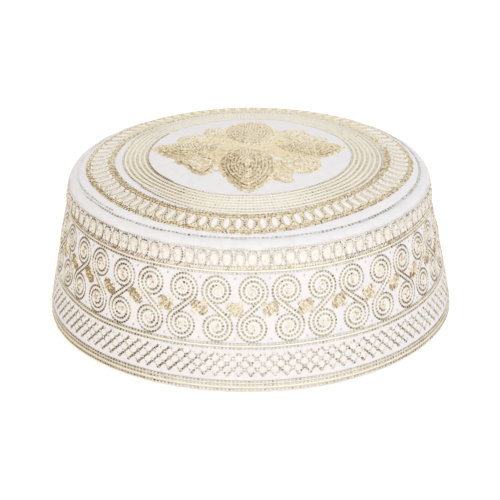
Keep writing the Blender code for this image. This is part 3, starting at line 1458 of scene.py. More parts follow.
@dataclass(frozen=True)
class DropBorder:
    """A row of pointed drops along the top of the wall, over a row of slanted gold stitches.

    One side of a drop is given by the share of its half width and of its height. Its padding is
    given by the share of the drop and the rise in millimetres, from the top and back underneath.
    Both profiles are painted shade and light round the cap: for the gold and the drops' dark sides.
    """

    repeats: int = 96
    first: float = 0.7
    top: float = 62.4 * MM
    point: float = 54.9 * MM
    half_width: float = 1.66
    side: tuple[Pair, ...] = (
        (0.3, 0.01), (0.75, 0.14), (0.97, 0.38), (1.0, 0.64), (0.9, 0.86), (0.5, 0.985),
    )
    heart: float = 59.0 * MM
    padding: tuple[Pair, ...] = (
        (0.12, 0.28), (0.4, 0.26), (0.58, 0.18), (0.75, 0.02), (0.7, -0.2), (0.3, -0.2),
    )
    burrs: int = 7
    burr_reach: Pair = (1.5 * MM, 2.7 * MM)
    burr_length: Pair = (0.45 * MM, 0.9 * MM)
    foot_low: float = 55.0 * MM
    foot_high: float = 56.1 * MM
    foot_places: tuple[float, ...] = (-0.9, 0.1, 1.1)
    slants: int = 440
    slant_height: float = 55.15 * MM
    slant: Pair = (0.62 * MM, 0.72 * MM)
    gilt_shade: Profile = Profile(
        (-90, -0.35), (-70, -0.35), (-50, -0.22), (-30, -0.26), (-15, -0.28), (0, -0.25),
        (20, -0.15), (30, 0.15), (50, 0.5), (62, 0.25), (75, 0.0), (100, -0.2),
    )
    shade: Profile = Profile(
        (-90, 0.0), (-75, 0.15), (-50, 0.4), (-28, 0.3), (-12, 0.0), (5, -0.1), (30, 0.1),
        (60, 0.15), (90, -0.2),
    )

    def drop(self) -> Array:
        """Outline of one drop about its own upright, from its point up and round."""
        half = math.radians(self.half_width) * CAP.draft_radius
        tall = self.top - self.point
        right = [(half * x, self.point + tall * y) for x, y in self.side]
        left = [(-x, y) for x, y in reversed(right)]
        return np.array(right + [(0.0, self.top)] + left)

    def work(self, cords: Piping, sewing: Needlework, satin: Needlework) -> None:
        """Pad every drop, sew a side in painted shade and a pale side round it, and the gold under
        it.

        Args:
            cords: Takes the padding.
            sewing: Takes the drops' sides.
            satin: Takes the burrs in the drops and the gold.
        """
        drop = self.drop()
        tip = len(drop) // 2
        # The side towards the front is painted dark as shade and the other side pale.
        dark = np.concatenate([[[-0.75 * MM, self.point + 0.1 * MM]], drop[: tip + 1]])
        pale = drop[tip:-2] * [0.9, 1.0]
        how = Stitch(TWINE, width=0.74 * MM, period=1.12 * MM, cover=0.62, hole=0.82 * MM,
                     spread=0.26, tone=-0.06)
        edge = Stitch(CREAM, width=0.6 * MM, period=1.2 * MM, hole=0.7 * MM, spread=0.3, tone=-0.2)
        burr = Stitch(TWINE, width=0.6 * MM, height=0.3 * MM, spread=0.4, lift=0.26 * MM,
                      tone=-0.25)
        heart = np.array([[0.0, self.heart]])
        for angle in around(self.repeats, self.first):
            turn = from_front(angle)
            place = ALONG * turn * CAP.draft_radius
            # Drops on the right turn about, so their painted shade stays on the side towards the
            # front.
            mirror = np.array([1.0 if turn < 0.1 else -1.0, 1.0])
            sewing.run(dark * mirror + place, how, tone=float(self.shade.at(turn)))
            sewing.run(pale * mirror + place, edge)
            pads = [(heart + (drop - heart) * share + place, up * MM) for share, up in self.padding]
            cords.pad(pads, is_ring=False, tone=0.3 * math.cos(angle), is_crosswise=True)
            stray = satin.draw.uniform(-1, 1, (2, self.burrs, 2))
            starts = heart + place + stray[1] * self.burr_reach
            satin.sew(starts, starts + stray[0] * self.burr_length, burr)
            self.foot(satin, turn, mirror[0])
        self.slanted(satin)

    def foot(self, satin: Needlework, turn: float, sign: float) -> None:
        """Sew the short gold stitches at one drop's point.

        Args:
            satin: Takes the stitches.
            turn: The drop's angle from the front.
            sign: 1, or -1 for a drop that is the other way about.
        """
        how = Stitch(GOLD, width=0.55 * MM, height=0.32 * MM, hole=0.7 * MM, spread=0.4,
                     tone=-0.02)
        run = turn * CAP.draft_radius
        reach = np.array(self.foot_places)[:, None] * ALONG * MM * sign
        starts = [run, self.foot_low] + reach
        ends = [run, self.foot_high] + reach * 1.2
        # The gold takes painted shade and light by the angle round the cap.
        tone = float(self.gilt_shade.at(turn))
        satin.sew(starts, ends, how, tone)
        satin.pits(ends[:2], UP, how, tone)

    def slanted(self, satin: Needlework) -> None:
        """Sew the row of slanted gold stitches, with a hole at each end of each."""
        how = Stitch(BRASS, width=0.66 * MM, height=0.40 * MM, hole=0.7 * MM, spread=0.35)
        middle = round_wall(self.slant_height, self.slants)
        slant = np.array(self.slant)
        # The gold takes painted shade and light by the angle round the cap.
        satin.shade_and_mottle = lambda marks: self.gilt_shade.at(marks[:, 0] / CAP.draft_radius)
        satin.sew(middle - slant, middle + slant, how)
        satin.pits(middle - slant * 1.15, ALONG, how, 0.1)
        satin.pits(middle + slant * 1.1, ALONG, how)


@dataclass(frozen=True)
class Lattice:
    """Crossed slanting lines, two diamonds high, over the hem."""

    repeats: int = LATTICE_REPEATS
    low: float = LATTICE_LOW
    high: float = LATTICE_HIGH

    def work(self, sewing: Needlework) -> None:
        """Sew the lines both ways."""
        how = Stitch(LATH, width=1.5 * MM, height=0.34 * MM, period=1.63 * MM, hole=1.35 * MM,
                     spread=0.28)
        rise = self.high - self.low
        for angle in around(self.repeats):
            run = (angle - math.pi) * CAP.draft_radius
            for lean in (rise, -rise):
                line = np.array([[run - lean / 2, self.low], [run + lean / 2, self.high]])
                sewing.run(line, how)


@dataclass(frozen=True)
class WallLines:
    """The level lines: dotted rows, and smooth cords between them, in millimetres.

    A dotted row has a height, a stitch length and a tone. A cord has a height, a width and how
    far it stands up. The profile is painted shade and light by the angle round the cap.
    """

    dotted: tuple[Triple, ...] = (
        (63.0, 1.45, -0.55), (52.95, 1.72, -0.05), (22.2, 1.62, -0.08), (20.1, 1.62, -0.08),
        (5.1, 1.65, -0.05), (3.6, 1.65, -0.05), (1.4, 1.65, 0.0),
    )
    corded: tuple[Triple, ...] = (
        (53.95, 0.85, 0.24), (21.15, 0.85, 0.24), (2.5, 0.95, 0.28), (4.35, 0.60, 0.22),
    )
    hem_top: float = 5.6
    hem_lift: float = 0.2 * MM
    round_shade: Profile = Profile(
        (-95, -0.7), (-75, -0.6), (-60, -0.2), (-45, 0), (64, 0), (78, -0.3), (90, -0.3)
    )

    def work(self, cords: Piping, sewing: Needlework) -> None:
        """Sew the rows and lay the cords.

        Args:
            cords: Takes the cords.
            sewing: Takes the dotted rows.
        """
        # Painted shade and light by the angle round the cap.
        sewing.shade_and_mottle = lambda marks: self.round_shade.at(marks[:, 0] / CAP.draft_radius)
        for height, period, tone in self.dotted:
            lift = self.hem_lift if height < self.hem_top else 0.0
            how = Stitch(LEVEL, width=0.86 * MM, period=period * MM, hole=0.92 * MM, tone=tone,
                         lift=lift, spread=0.2)
            sewing.run(round_wall(height * MM), how, closed=True)
        for height, width, rise in self.corded:
            line = round_wall(height * MM)
            cords.lay(line, width * MM, rise * MM, 1.2 * MM, closed=True, tone=-0.1)


# Embroidery of the crown


@dataclass(frozen=True)
class EyeletRing:
    """White padded ovals in a ring of gold, with a loop round each and dotted gold edges.

    Its padding is given by the share of its half width and the rise in millimetres. Its added depth
    of colour round the cap is painted shade and light, and the drift is how far the ring strays
    outwards in millimetres.
    """

    repeats: int = 84
    first: float = 0.3
    middle: float = 68.3 * MM
    half: float = 6.75 * MM
    shift: float = 0.55 * MM
    half_long: float = 3.3 * MM
    half_wide: float = 2.12 * MM
    squareness: float = 2.6
    rungs: int = 8
    loop_half: Pair = (3.8 * MM, 2.46 * MM)
    loop_corners: int = 14
    seeds: int = 4
    seed_reach: Pair = (-2.6, 2.9)
    # Behind this the ovals take painted shade, a duller copy of the white satin.
    shaded_behind: float = -0.6  # on a scale from 1 at the front to -1 at the back
    rows: tuple[float, ...] = (-6.3, -5.45, -4.6, -3.85, 4.85, 5.65, 6.4)
    row_step: float = 1.5 * MM
    padding: tuple[Pair, ...] = (
        (1.0, -0.3), (0.97, 0.02), (0.8, 0.14), (0.3, 0.18), (-0.3, 0.18), (-0.8, 0.14),
        (-0.97, 0.02), (-1.0, -0.3), (0.0, -0.5),
    )
    round_shade: Profile = Profile(
        (-175, -0.75), (-150, -0.5), (-110, -0.2), (-60, -0.18), (-30, -0.04), (0, 0.02),
        (60, -0.2), (100, -0.25), (130, -0.45), (160, -0.75),
    )
    drift: Profile = Profile(
        (-170, 0.4), (-130, 0.0), (-90, 0.4), (-65, -0.8), (-40, -0.3), (-15, 1.4), (0, 1.9),
        (10, 1.2), (30, -1.1), (50, -1.9), (70, -1.0), (90, 0.8), (130, 0.5),
    )

    def work(self, pads: Piping, sewing: Needlework, satin: Needlework) -> None:
        """Sew the padding, the ovals, the gold between them and the two edges.

        Args:
            pads: Takes the padding.
            sewing: Takes the loops.
            satin: Takes the ovals and the gold.
        """
        rows = [
            (ring_marks(self.middle + share * self.half, self.drift), rise * MM)
            for share, rise in self.padding
        ]
        pads.pad(rows, is_ring=True, is_crosswise=True)
        # Painted shade and light by the angle round the cap.
        sewing.shade_and_mottle = satin.shade_and_mottle = lambda marks: self.round_shade.at(azimuth(marks))
        white = Stitch(WHITE_SATIN, width=1.15 * MM, height=0.36 * MM, spread=0.12, lift=0.34 * MM)
        back_shaded = replace(white, thread=BACK_SHADED_SATIN)
        gold = Stitch(GOLD, width=0.5 * MM, height=0.26 * MM, period=1.5 * MM, hole=0.66 * MM,
                      spread=0.4, lift=0.14 * MM)
        seed = Stitch(GOLD, hole=0.62 * MM, spread=0.4, lift=0.16 * MM, tone=0.05)
        loop = heading(around(self.loop_corners)) * self.loop_half
        step = np.linspace(-0.9, 0.9, self.rungs)[:, None]
        width = (1 - np.abs(step) ** self.squareness) ** 0.5 * self.half_wide
        for angle in around(self.repeats, self.first):
            out, side = polar(angle), heading(angle)
            reach = self.middle + float(self.drift.at(angle)) * MM + self.shift
            sewing.run(out * reach + loop @ [out, side], gold, closed=True)
            rung = out * reach + step * self.half_long * out
            # Ovals at the back are sewn in painted shade.
            cover = back_shaded if math.cos(angle) < self.shaded_behind else white
            satin.sew(rung - width * side, rung + width * side, cover)
            out = polar(angle + math.pi / self.repeats)
            stray = satin.draw.uniform(-0.3, 0.3, self.seeds)
            lane = reach + (np.linspace(*self.seed_reach, self.seeds) + stray) * MM
            satin.pits(lane[:, None] * out, out, seed)
        self.edges(satin)

    def edges(self, satin: Needlework) -> None:
        """Sew close rows of short gold stitches inside and outside the ovals."""
        how = Stitch(GOLD, width=0.72 * MM, height=0.3 * MM, spread=0.5, hole=0.9 * MM,
                     lift=0.14 * MM, tone=0.04)
        for number, off in enumerate(self.rows):
            radius = self.middle + off * MM
            count = round(math.tau * radius / self.row_step)
            angle = around(count) + satin.draw.uniform(-0.25, 0.25, count) * math.tau / count
            stray = self.drift.at(angle) + satin.draw.uniform(-0.12, 0.12, count)
            middle, side = polar(angle, radius + stray * MM), heading(angle)
            lean = 0.45 * MM if number % 2 else -0.45 * MM
            stroke = polar(angle, lean) + side * 0.48 * MM
            satin.sew(middle - stroke, middle + stroke, how)
            satin.pits(middle + side * 0.75 * MM, side, how)


@dataclass(frozen=True)
class RowRing:
    """Close rows of couched cord round the medallion, the outer ones only part of the way.

    Arcs are angles in degrees. Its added depth of colour round the cap is painted shade and light,
    and the drift is how far the rows stray outwards in millimetres.
    """

    first: float = 47.1 * MM
    pitch: float = 2.22 * MM
    rows: int = 6
    across: int = 208
    cord_width: float = 1.6 * MM
    cord_rise: float = 0.32 * MM
    bead: float = 0.22
    dark_arc: Pair = (-125.0, -47.0)
    arcs: tuple[Pair, ...] = ((-56.0, 250.0), (-26.0, 40.0))
    arc_fade: float = 25.0
    draw_in: float = 1.2 * MM
    drift: Profile = Profile(
        (-180, -1.0), (-150, -1.5), (-120, 0.0), (-90, 0.0), (-50, -1.2), (-25, 0.0), (0, 0.8),
        (15, 0.6), (35, 0.0), (60, 0.3), (90, 1.2), (120, 0.6),
    )
    round_shade: Profile = Profile(
        (-150, -0.4), (-120, -0.3), (-90, -0.32), (-60, -0.45), (-30, -0.32), (0, -0.06),
        (35, -0.1), (60, -0.3), (90, -0.3), (130, -0.4),
    )

    @property
    def last(self) -> float:
        """Radius of the outermost whole row."""
        return self.first + self.pitch * (self.rows - 1)

    def line(self, radius: float) -> Array:
        """Marks of the ring at a radius. The outer rows stray the most."""
        share = (radius - self.first) / (self.rows * self.pitch)
        return ring_marks(radius, self.drift, 0.3 + 0.7 * share)

    def dots(self, radius: float) -> Stitch:
        """The dotted stitch of a row, as many to the turn at every radius."""
        return Stitch(BEIGE, width=0.66 * MM, period=math.tau * radius / self.across, cover=0.46,
                      hole=0.98 * MM, stretch=0.85, lift=0.14 * MM, spread=0.2)

    def work(self, pads: Piping, cords: Piping, sewing: Needlework) -> None:
        """Lay the padding and the cords, and sew a dotted row on each side of them.

        Args:
            pads: Takes the padding.
            cords: Takes the cords.
            sewing: Takes the dotted rows, and a dark one inside them at the left.
        """
        first, last = self.first, self.last
        padding = (  # radius, and rise in millimetres
            (last + 0.5 * MM, -0.3), (last + 0.3 * MM, 0.02), (last - MM, 0.12),
            (first + MM, 0.12), (first - 0.4 * MM, 0.02), (first - 0.6 * MM, -0.3),
            ((first + last) / 2, -0.5),
        )
        pads.pad([(self.line(radius), rise * MM) for radius, rise in padding], is_ring=True)
        edge = Stitch(BRASS, width=1.0 * MM, period=1.5 * MM, hole=1.0 * MM, lift=0.14 * MM)
        angle = np.radians(np.linspace(*self.dark_arc, 90))
        sewing.run(polar(angle, first - 0.35 * MM + self.drift.at(angle) * 0.3 * MM), edge)
        # Painted shade and light by the angle round the cap.
        sewing.shade_and_mottle = lambda marks: self.round_shade.at(azimuth(marks))
        for row in range(self.rows):
            radius = first + self.pitch * row
            sewing.run(self.line(radius), self.dots(radius), closed=True)
            if row < self.rows - 1:
                middle = radius + self.pitch / 2
                half = math.tau * middle / self.across / 2
                cords.lay(self.line(middle), self.cord_width, self.cord_rise, half, closed=True,
                          bead=self.bead)
        for number, (start, end) in enumerate(self.arcs, 1):
            self.arc(cords, sewing, last + self.pitch * number, start, end)

    def arc(
        self, cords: Piping, sewing: Needlework, radius: float, start: float, end: float
    ) -> None:
        """Lay an outer cord and its dotted row, which draw in towards both ends.

        Args:
            cords: Takes the cord.
            sewing: Takes the dotted row.
            radius: The dotted row's radius.
            start: Where it starts.
            end: Where it ends.
        """
        degrees = np.linspace(start, end, 200)
        angle = np.radians(degrees)
        fade = 1 - smooth(degrees, start, start + self.arc_fade)
        fade = self.draw_in * (fade + smooth(degrees, end - self.arc_fade, end))
        stray = self.drift.at(angle) * MM - fade
        cord = polar(angle, radius - self.pitch / 2 + stray)
        cords.lay(cord, self.cord_width, self.cord_rise, 0.9 * MM, bead=self.bead)
        sewing.run(polar(angle, radius + stray), self.dots(radius))


@dataclass(frozen=True)
class Petal:
    """One filled leaf of the medallion: its outline and the spine that its rows close on."""

    outline: tuple[Pair, ...]
    spine: tuple[Pair, Pair]
    rows: int
    tone: float = 0.0
    is_curled: bool = False
    is_rimmed: bool = False

    def falloff(self, marks: Array) -> Array:
        """Added depth of colour: painted shade towards the leaf's front left side, and uneven
        patches.

        Args:
            marks: Places on the leaf.

        Returns:
            The depth added at each. Patches count for more on curled leaves.
        """
        corner = np.array(self.outline) * MM
        centre = corner.mean(axis=0)
        size = np.abs(corner - centre).max(axis=0)
        # Painted shade: deeper on the leaf's side towards the front left.
        slope = 0.45 * ((marks - centre) / size) @ np.array([-0.65, -0.9])
        patch = np.sin(marks @ [1310.0, 420.0] + 1.0) * np.sin(marks @ [-510.0, 980.0] + 0.4)
        return 0.7 * slope + 0.55 * patch if self.is_curled else slope + 0.28 * patch

    def inward(self, share: float) -> Array:
        """The outline drawn in towards the spine by a share."""
        edge = rounded(list(self.outline))
        low, high = (np.array(end) * MM for end in self.spine)
        along = high - low
        place = np.clip((edge - low) @ along / (along @ along), 0, 1)
        return blend(edge, low + place[:, None] * along, share)


@dataclass(frozen=True)
class Medallion:
    """The four-petalled flower in the middle of the crown, with curled leaves between.

    Its outlines are in millimetres. Its padding is given by the share of the ground's outline
    and the rise in millimetres. A burst has a place, a reach and a count of stitches.
    """

    ground: tuple[Pair, ...] = (
        (-1, -44), (-7.5, -37), (-12, -29), (-15, -24), (-20, -27.5), (-25.5, -24.5), (-29, -17.5),
        (-34, -12), (-35, -7), (-40, -2), (-44.5, 7.5), (-41, 11.5), (-35, 11.5), (-33, 17.5),
        (-28, 21.5), (-22.5, 21), (-20.5, 28), (-16, 31.5), (-11.5, 30.5), (-7, 35.5), (2, 40),
        (8, 37), (11.5, 31), (15, 24), (19.5, 27.5), (25, 28), (28.5, 22.5), (34, 20.5),
        (35.5, 13.5), (40, 11.5), (44.5, 7), (41.5, -1), (36, -7), (32, -12), (32.5, -20),
        (27.5, -25.5), (20.5, -26), (19.5, -31), (18, -35.5), (13, -35), (9.5, -35), (5, -40.5),
    )
    padding: tuple[Pair, ...] = (
        (0.06, 0.16), (0.25, 0.16), (0.45, 0.16), (0.65, 0.16), (0.82, 0.15), (0.93, 0.12),
        (0.985, 0.03), (1.0, -0.3), (0.7, -0.5), (0.3, -0.5),
    )
    seeds: int = 1400
    sheen_share: float = 0.6
    bursts: tuple[tuple[float, float, float, int], ...] = (
        (-0.3, 3.0, 1.3, 3), (-15.0, -22.5, 2.4, 5), (12.0, -13.5, 2.2, 4),
    )
    petals: tuple[Petal, ...] = (
        Petal(
            ((-1, -44.5), (-7.5, -37), (-12, -28), (-13.5, -19), (-12.5, -11), (-8, -4), (-1, -1),
             (6.5, -4), (11, -11), (12, -19), (11, -28), (6.5, -38)),
            ((-1, -20), (-0.5, -14)), 8, -0.15,
        ),
        Petal(
            ((2, 40), (-5, 36.5), (-10.5, 29), (-12, 21), (-10, 12), (-5, 5.5), (0.5, 3),
             (6, 5.5), (11, 12), (12.5, 21), (11.5, 29), (8, 36.5)),
            ((0.5, 20), (1, 24)), 8, -0.38,
        ),
        Petal(
            ((-44.5, 8), (-40, 11.5), (-33, 10.5), (-25, 8), (-17, 4.5), (-13, 0), (-19, -4.5),
             (-27, -8), (-34, -7), (-40, -1)),
            ((-30, 2.5), (-23, 1.5)), 5, 0.06,
        ),
        Petal(
            ((44.5, 7), (40, 11.5), (33, 10.5), (25, 8), (17, 4.5), (12, 0), (19, -4.5), (27, -8),
             (34, -7), (40, -1)),
            ((30, 2.5), (23, 1.5)), 5, -0.04,
        ),
        Petal(
            ((-34, -12), (-28, -8.5), (-20, -8.5), (-15, -13), (-16.5, -20), (-20, -27),
             (-25.5, -24), (-29, -17)),
            ((-24, -14), (-21.5, -18)), 4, 0.0, is_curled=True, is_rimmed=True,
        ),
        Petal(
            ((13.5, -13), (18, -8.5), (27, -8.5), (32, -12), (32, -20), (27, -25), (20, -25.5),
             (15, -20)),
            ((21, -16), (25, -17)), 4, -0.1, is_curled=True,
        ),
        Petal(
            ((12.5, -27), (17, -27.5), (19.5, -31), (18.5, -35.5), (13.5, -35), (11.5, -31)),
            ((15, -30), (16, -33)), 2, 0.0, is_curled=True,
        ),
        Petal(
            ((-33, 13.5), (-31.5, 19), (-26, 21.5), (-20.5, 19), (-16.5, 14), (-18, 9), (-26, 9.5)),
            ((-27, 15), (-23, 14)), 3, -0.05, is_curled=True,
        ),
        Petal(
            ((-20, 20), (-20.5, 27), (-16, 31.5), (-12, 29), (-12, 22), (-14, 16)),
            ((-16, 22), (-16, 27)), 3, -0.05, is_curled=True,
        ),
        Petal(
            ((35.5, 14), (35, 19.5), (29, 20.5), (22.5, 19), (17.5, 14), (19, 9), (28, 10)),
            ((27, 15), (30, 15)), 3, -0.05, is_curled=True,
        ),
        Petal(
            ((14.5, 17), (15.5, 24), (20, 27.5), (26, 27.5), (28, 21.5), (21, 18)),
            ((20, 22), (23, 23)), 3, -0.05, is_curled=True,
        ),
    )

    def work(self, pads: Piping, sewing: Needlework) -> None:
        """Lay the padding, seed the ground, then fill every petal.

        Args:
            pads: Takes the padding.
            sewing: Takes all the stitches.
        """
        edge_line = rounded(list(self.ground), 5)
        pads.pad([(edge_line * share, rise * MM) for share, rise in self.padding], is_ring=False)
        # The medallion takes less of the painted sheen and shade by the thread's lie.
        sewing.sheen_share = self.sheen_share
        sewing.shade_and_mottle = self.mottle
        self.scatter(sewing, edge_line)
        for petal in self.petals:
            sewing.shade_and_mottle = petal.falloff
            self.fringe(sewing, petal)
            self.fill(sewing, petal)
        sewing.shade_and_mottle = None
        self.highlights(sewing)

    @staticmethod
    def mottle(marks: Array) -> Array:
        """Added depth of colour of the ground, in uneven patches."""
        return 0.5 * np.sin(marks @ [760.0, 310.0]) * np.sin(marks @ [-290.0, 690.0])

    @staticmethod
    def fringe(sewing: Needlework, petal: Petal) -> None:
        """Sew short stitches over a leaf's edge, so that it ends unevenly."""
        how = Stitch(LEAF, width=0.6 * MM, height=0.3 * MM, spread=0.35, lift=0.06 * MM)
        marks = spaced(petal.inward(0.0), 0.95 * MM, closed=True)
        here = marks[:-1]
        onward = unit(marks[1:] - here)
        across = np.stack([onward[:, 1], -onward[:, 0]], axis=1)
        lean = sewing.draw.uniform(-0.6, 0.6, (len(here), 1))
        reach = sewing.draw.uniform(0.45, 0.8, (len(here), 1)) * MM
        half = unit(across + onward * lean) * reach
        sewing.sew(here - half, here + half, how, petal.tone)

    def fill(self, sewing: Needlework, petal: Petal) -> None:
        """Sew a leaf's rows from its edge inwards.

        Args:
            sewing: Takes the stitches.
            petal: The leaf. A curled one's inner rows lie every way, and the others have dark
                veins between them.
        """
        leaf = Stitch(LEAF, width=0.95 * MM, height=0.42 * MM, period=1.45 * MM, cover=0.9,
                      hole=0.0, lift=0.14 * MM, spread=0.5)
        vein = Stitch(VEIN, width=0.64 * MM, height=0.26 * MM, period=1.5 * MM, cover=0.5,
                      hole=0.8 * MM, lift=0.26 * MM, spread=0.5)
        curl = replace(leaf, thread=BLUSH, spread=0.55)
        for row in range(petal.rows):
            line = petal.inward((row + 0.5) / petal.rows)
            if row and petal.is_curled:
                self.tuft(sewing, line, curl, petal.tone)
            else:
                sewing.run(line, leaf, closed=True, tone=petal.tone)
            if row and (not petal.is_curled or petal.is_rimmed and row == 1):
                sewing.run(petal.inward(row / petal.rows), vein, closed=True, tone=petal.tone)

    @staticmethod
    def tuft(sewing: Needlework, line: Array, how: Stitch, tone: float) -> None:
        """Sew stitches along a line that lie every way."""
        marks = spaced(line, 1.05 * MM, closed=True)[:-1]
        marks = marks + sewing.draw.uniform(-0.3, 0.3, marks.shape) * MM
        half = heading(sewing.draw.uniform(0, math.pi, len(marks))) * 0.85 * MM
        sewing.sew(marks - half, marks + half, how, tone)

    def highlights(self, sewing: Needlework) -> None:
        """Sew the pale knot in the middle and the white bursts where the leaves meet."""
        how = Stitch(WHITE_SATIN, width=0.8 * MM, height=0.5 * MM, lift=0.28 * MM, spread=0.05)
        for x, y, reach, count in self.bursts:
            ray = heading(math.pi / 2 + (np.arange(count) - (count - 1) / 2) * 0.55) * reach * MM
            spot = np.array([[x, y]]) * MM
            sewing.sew(spot - ray, spot + ray, how)

    def scatter(self, sewing: Needlework, outline: Array) -> None:
        """Fill the ground between the leaves with short stitches that lie every way.

        Args:
            sewing: Takes the stitches.
            outline: Marks of the ground's edge.
        """
        seed = Stitch(LEAF, width=0.55 * MM, height=0.34 * MM, spread=0.5, lift=0.2 * MM)
        share = np.sqrt(sewing.draw.uniform(0.0, 0.95, self.seeds))
        corner = sewing.draw.uniform(0, 1, self.seeds) * len(outline)
        here = corner.astype(int)
        first, after = outline[here % len(outline)], outline[(here + 1) % len(outline)]
        place = blend(first, after, (corner % 1)[:, None]) * share[:, None]
        half = heading(sewing.draw.uniform(0, math.pi, self.seeds)) * 0.6 * MM
        sewing.sew(place - half, place + half, seed)


@dataclass(frozen=True)
class Topstitching:
    """The line that holds the rolled edge to the crown, gone over twice at the left.

    Its added depth of colour round the cap is painted shade and light, and the drift is how far it
    strays in millimetres.
    """

    radius: float = 78.9 * MM
    second_arc: Pair = (-118.0, -50.0)
    second_inset: float = 1.5
    drift: Profile = Profile(
        (-130, 1.0), (-100, 2.0), (-80, 1.8), (-64, 0.3), (-40, 0), (30, 0), (60, -0.8),
        (80, -0.5), (105, 0),
    )
    round_shade: Profile = Profile(
        (-150, -0.4), (-105, -0.5), (-70, -0.45), (-45, -0.35), (-20, 0.0), (0, -0.15),
        (20, -0.1), (40, 0.15), (60, 0.05), (78, -0.15), (120, -0.4),
    )

    def work(self, sewing: Needlework) -> None:
        """Sew the line, and go over it again at the left."""
        # Painted shade and light by the angle round the cap.
        sewing.shade_and_mottle = lambda marks: self.round_shade.at(azimuth(marks))
        how = Stitch(SAGE, width=1.05 * MM, period=1.9 * MM, hole=1.15 * MM, spread=0.4)
        sewing.run(ring_marks(self.radius, self.drift), how, closed=True)
        angle = np.radians(np.linspace(*self.second_arc, 90))
        line = polar(angle, self.radius + (self.drift.at(angle) - self.second_inset) * MM)
        sewing.run(line, replace(how, width=0.7 * MM, hole=0.8 * MM, spread=0.45, tone=-0.2))


# The studio


@dataclass(frozen=True)
class Lamp:
    """A square soft light that faces the cap: its place, its side, its watts and its colour."""

    name: str
    place: Triple
    size: float
    power: float
    colour: Triple

    def hang(self) -> None:
        """Add the light."""
        data = bpy.data.lights.new(self.name, "AREA")
        data.size = self.size
        data.energy = self.power
        data.color = self.colour
        made = bpy.data.objects.new(self.name, data)
        made.location = self.place
        aim = np.subtract(KEY_AIM, self.place)
        yaw = math.atan2(aim[0], -aim[1])
        drop = math.atan2(-aim[2], math.hypot(aim[0], aim[1]))
        made.rotation_euler = (math.pi / 2 - drop, 0.0, yaw + math.pi)
        bpy.context.scene.collection.objects.link(made)


@dataclass(frozen=True)
class Floor(Turned):
    """A flat disc."""

    name: str = "floor"
    steps: int = 64
    is_ring: bool = False
    radius: float = 2.5
    depth: float = 0.01

    def section(self) -> Array:
        """Out along the top and back underneath."""
        return np.array([(0, 0), (self.radius, 0), (self.radius, -self.depth), (0, -self.depth)])


@dataclass(frozen=True)
class Studio:
    """The pale floor, the soft lights and the camera.

    The side lights are the surroundings' colour from the left and the right, past a still middle.
    """

    focal_length: float = 147.35
    sensor: float = 36.0
    place: Triple = (0.0, -0.8767, 0.4244)
    pitch: float = 24.48
    roll: float = -0.51
    surroundings: float = 1.05
    middle_light: Triple = (0.96, 0.985, 1.03)
    left_light: Triple = (0.83, 0.745, 0.565)
    right_light: Triple = (1.0, 0.975, 0.90)
    still: float = 0.1
    lamps: tuple[Lamp, ...] = (
        Lamp("key", KEY_LIGHT, 1.1, 15.0, (1.0, 0.99, 0.97)),
        Lamp("fill", (-1.6, -0.9, 1.2), 1.4, 1.2, (0.98, 0.99, 1.0)),
    )

    def camera(self) -> None:
        """Set the camera at the photograph's view."""
        data = bpy.data.cameras.new("camera")
        data.lens = self.focal_length
        data.sensor_width = self.sensor
        data.sensor_fit = "HORIZONTAL"
        data.clip_start = 0.05
        data.clip_end = 50.0
        made = bpy.data.objects.new("camera", data)
        tilt = Matrix.Rotation(math.radians(90 - self.pitch), 4, "X")
        made.matrix_world = (
            Matrix.Translation(self.place) @ tilt @ Matrix.Rotation(math.radians(self.roll), 4, "Z")
        )
        bpy.context.scene.collection.objects.link(made)
        bpy.context.scene.camera = made

    def floor(self) -> bpy.types.Object:
        """Make the pale floor."""
        recipe = Recipe("floor_paper")
        grain = recipe.noise(recipe.node("ShaderNodeTexCoord", output="Object"), 30.0, 3.0)
        paper = recipe.mixed(grain, (0.97, 0.97, 0.97, 1.0), (0.95, 0.95, 0.955, 1.0))
        material = recipe.finish(
            Base_Color=paper,
            Roughness=0.9,
            Specular_IOR_Level=0.1,
            Emission_Color=(1.0, 1.0, 1.0, 1.0),
            Emission_Strength=0.12,
        )
        return Floor().object(material)

    def world(self) -> None:
        """Surround the scene with white light, warmer and dimmer from both sides."""
        made = bpy.data.worlds.new("studio")
        bpy.context.scene.world = made
        made.use_nodes = True
        tree = made.node_tree
        where = tree.nodes.new("ShaderNodeTexCoord")
        split = tree.nodes.new("ShaderNodeSeparateXYZ")
        tree.links.new(where.outputs["Generated"], split.inputs[0])
        light: bpy.types.NodeSocket | None = None
        for side, colour in ((-1.0, self.left_light), (1.0, self.right_light)):
            ramp = tree.nodes.new("ShaderNodeMapRange")
            ramp.inputs["From Min"].default_value = side * self.still
            ramp.inputs["From Max"].default_value = side
            mix = tree.nodes.new("ShaderNodeMix")
            mix.data_type = "RGBA"
            mix.inputs["A"].default_value = (*self.middle_light, 1.0)
            mix.inputs["B"].default_value = (*colour, 1.0)
            tree.links.new(split.outputs["X"], ramp.inputs["Value"])
            tree.links.new(ramp.outputs["Result"], mix.inputs["Factor"])
            if light is not None:
                tree.links.new(light, mix.inputs["A"])
            light = mix.outputs["Result"]
        sky = tree.nodes["Background"]
        tree.links.new(light, sky.inputs["Color"])
        sky.inputs["Strength"].default_value = self.surroundings

    def set_up(self) -> None:
        """Put everything in place."""
        self.world()
        for lamp in self.lamps:
            lamp.hang()
        self.camera()
        self.floor()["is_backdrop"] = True
        look = bpy.context.scene.view_settings
        look.view_transform = "Standard"
        look.look = "None"
        look.exposure = 0.0
        look.gamma = 1.0


# The whole cap


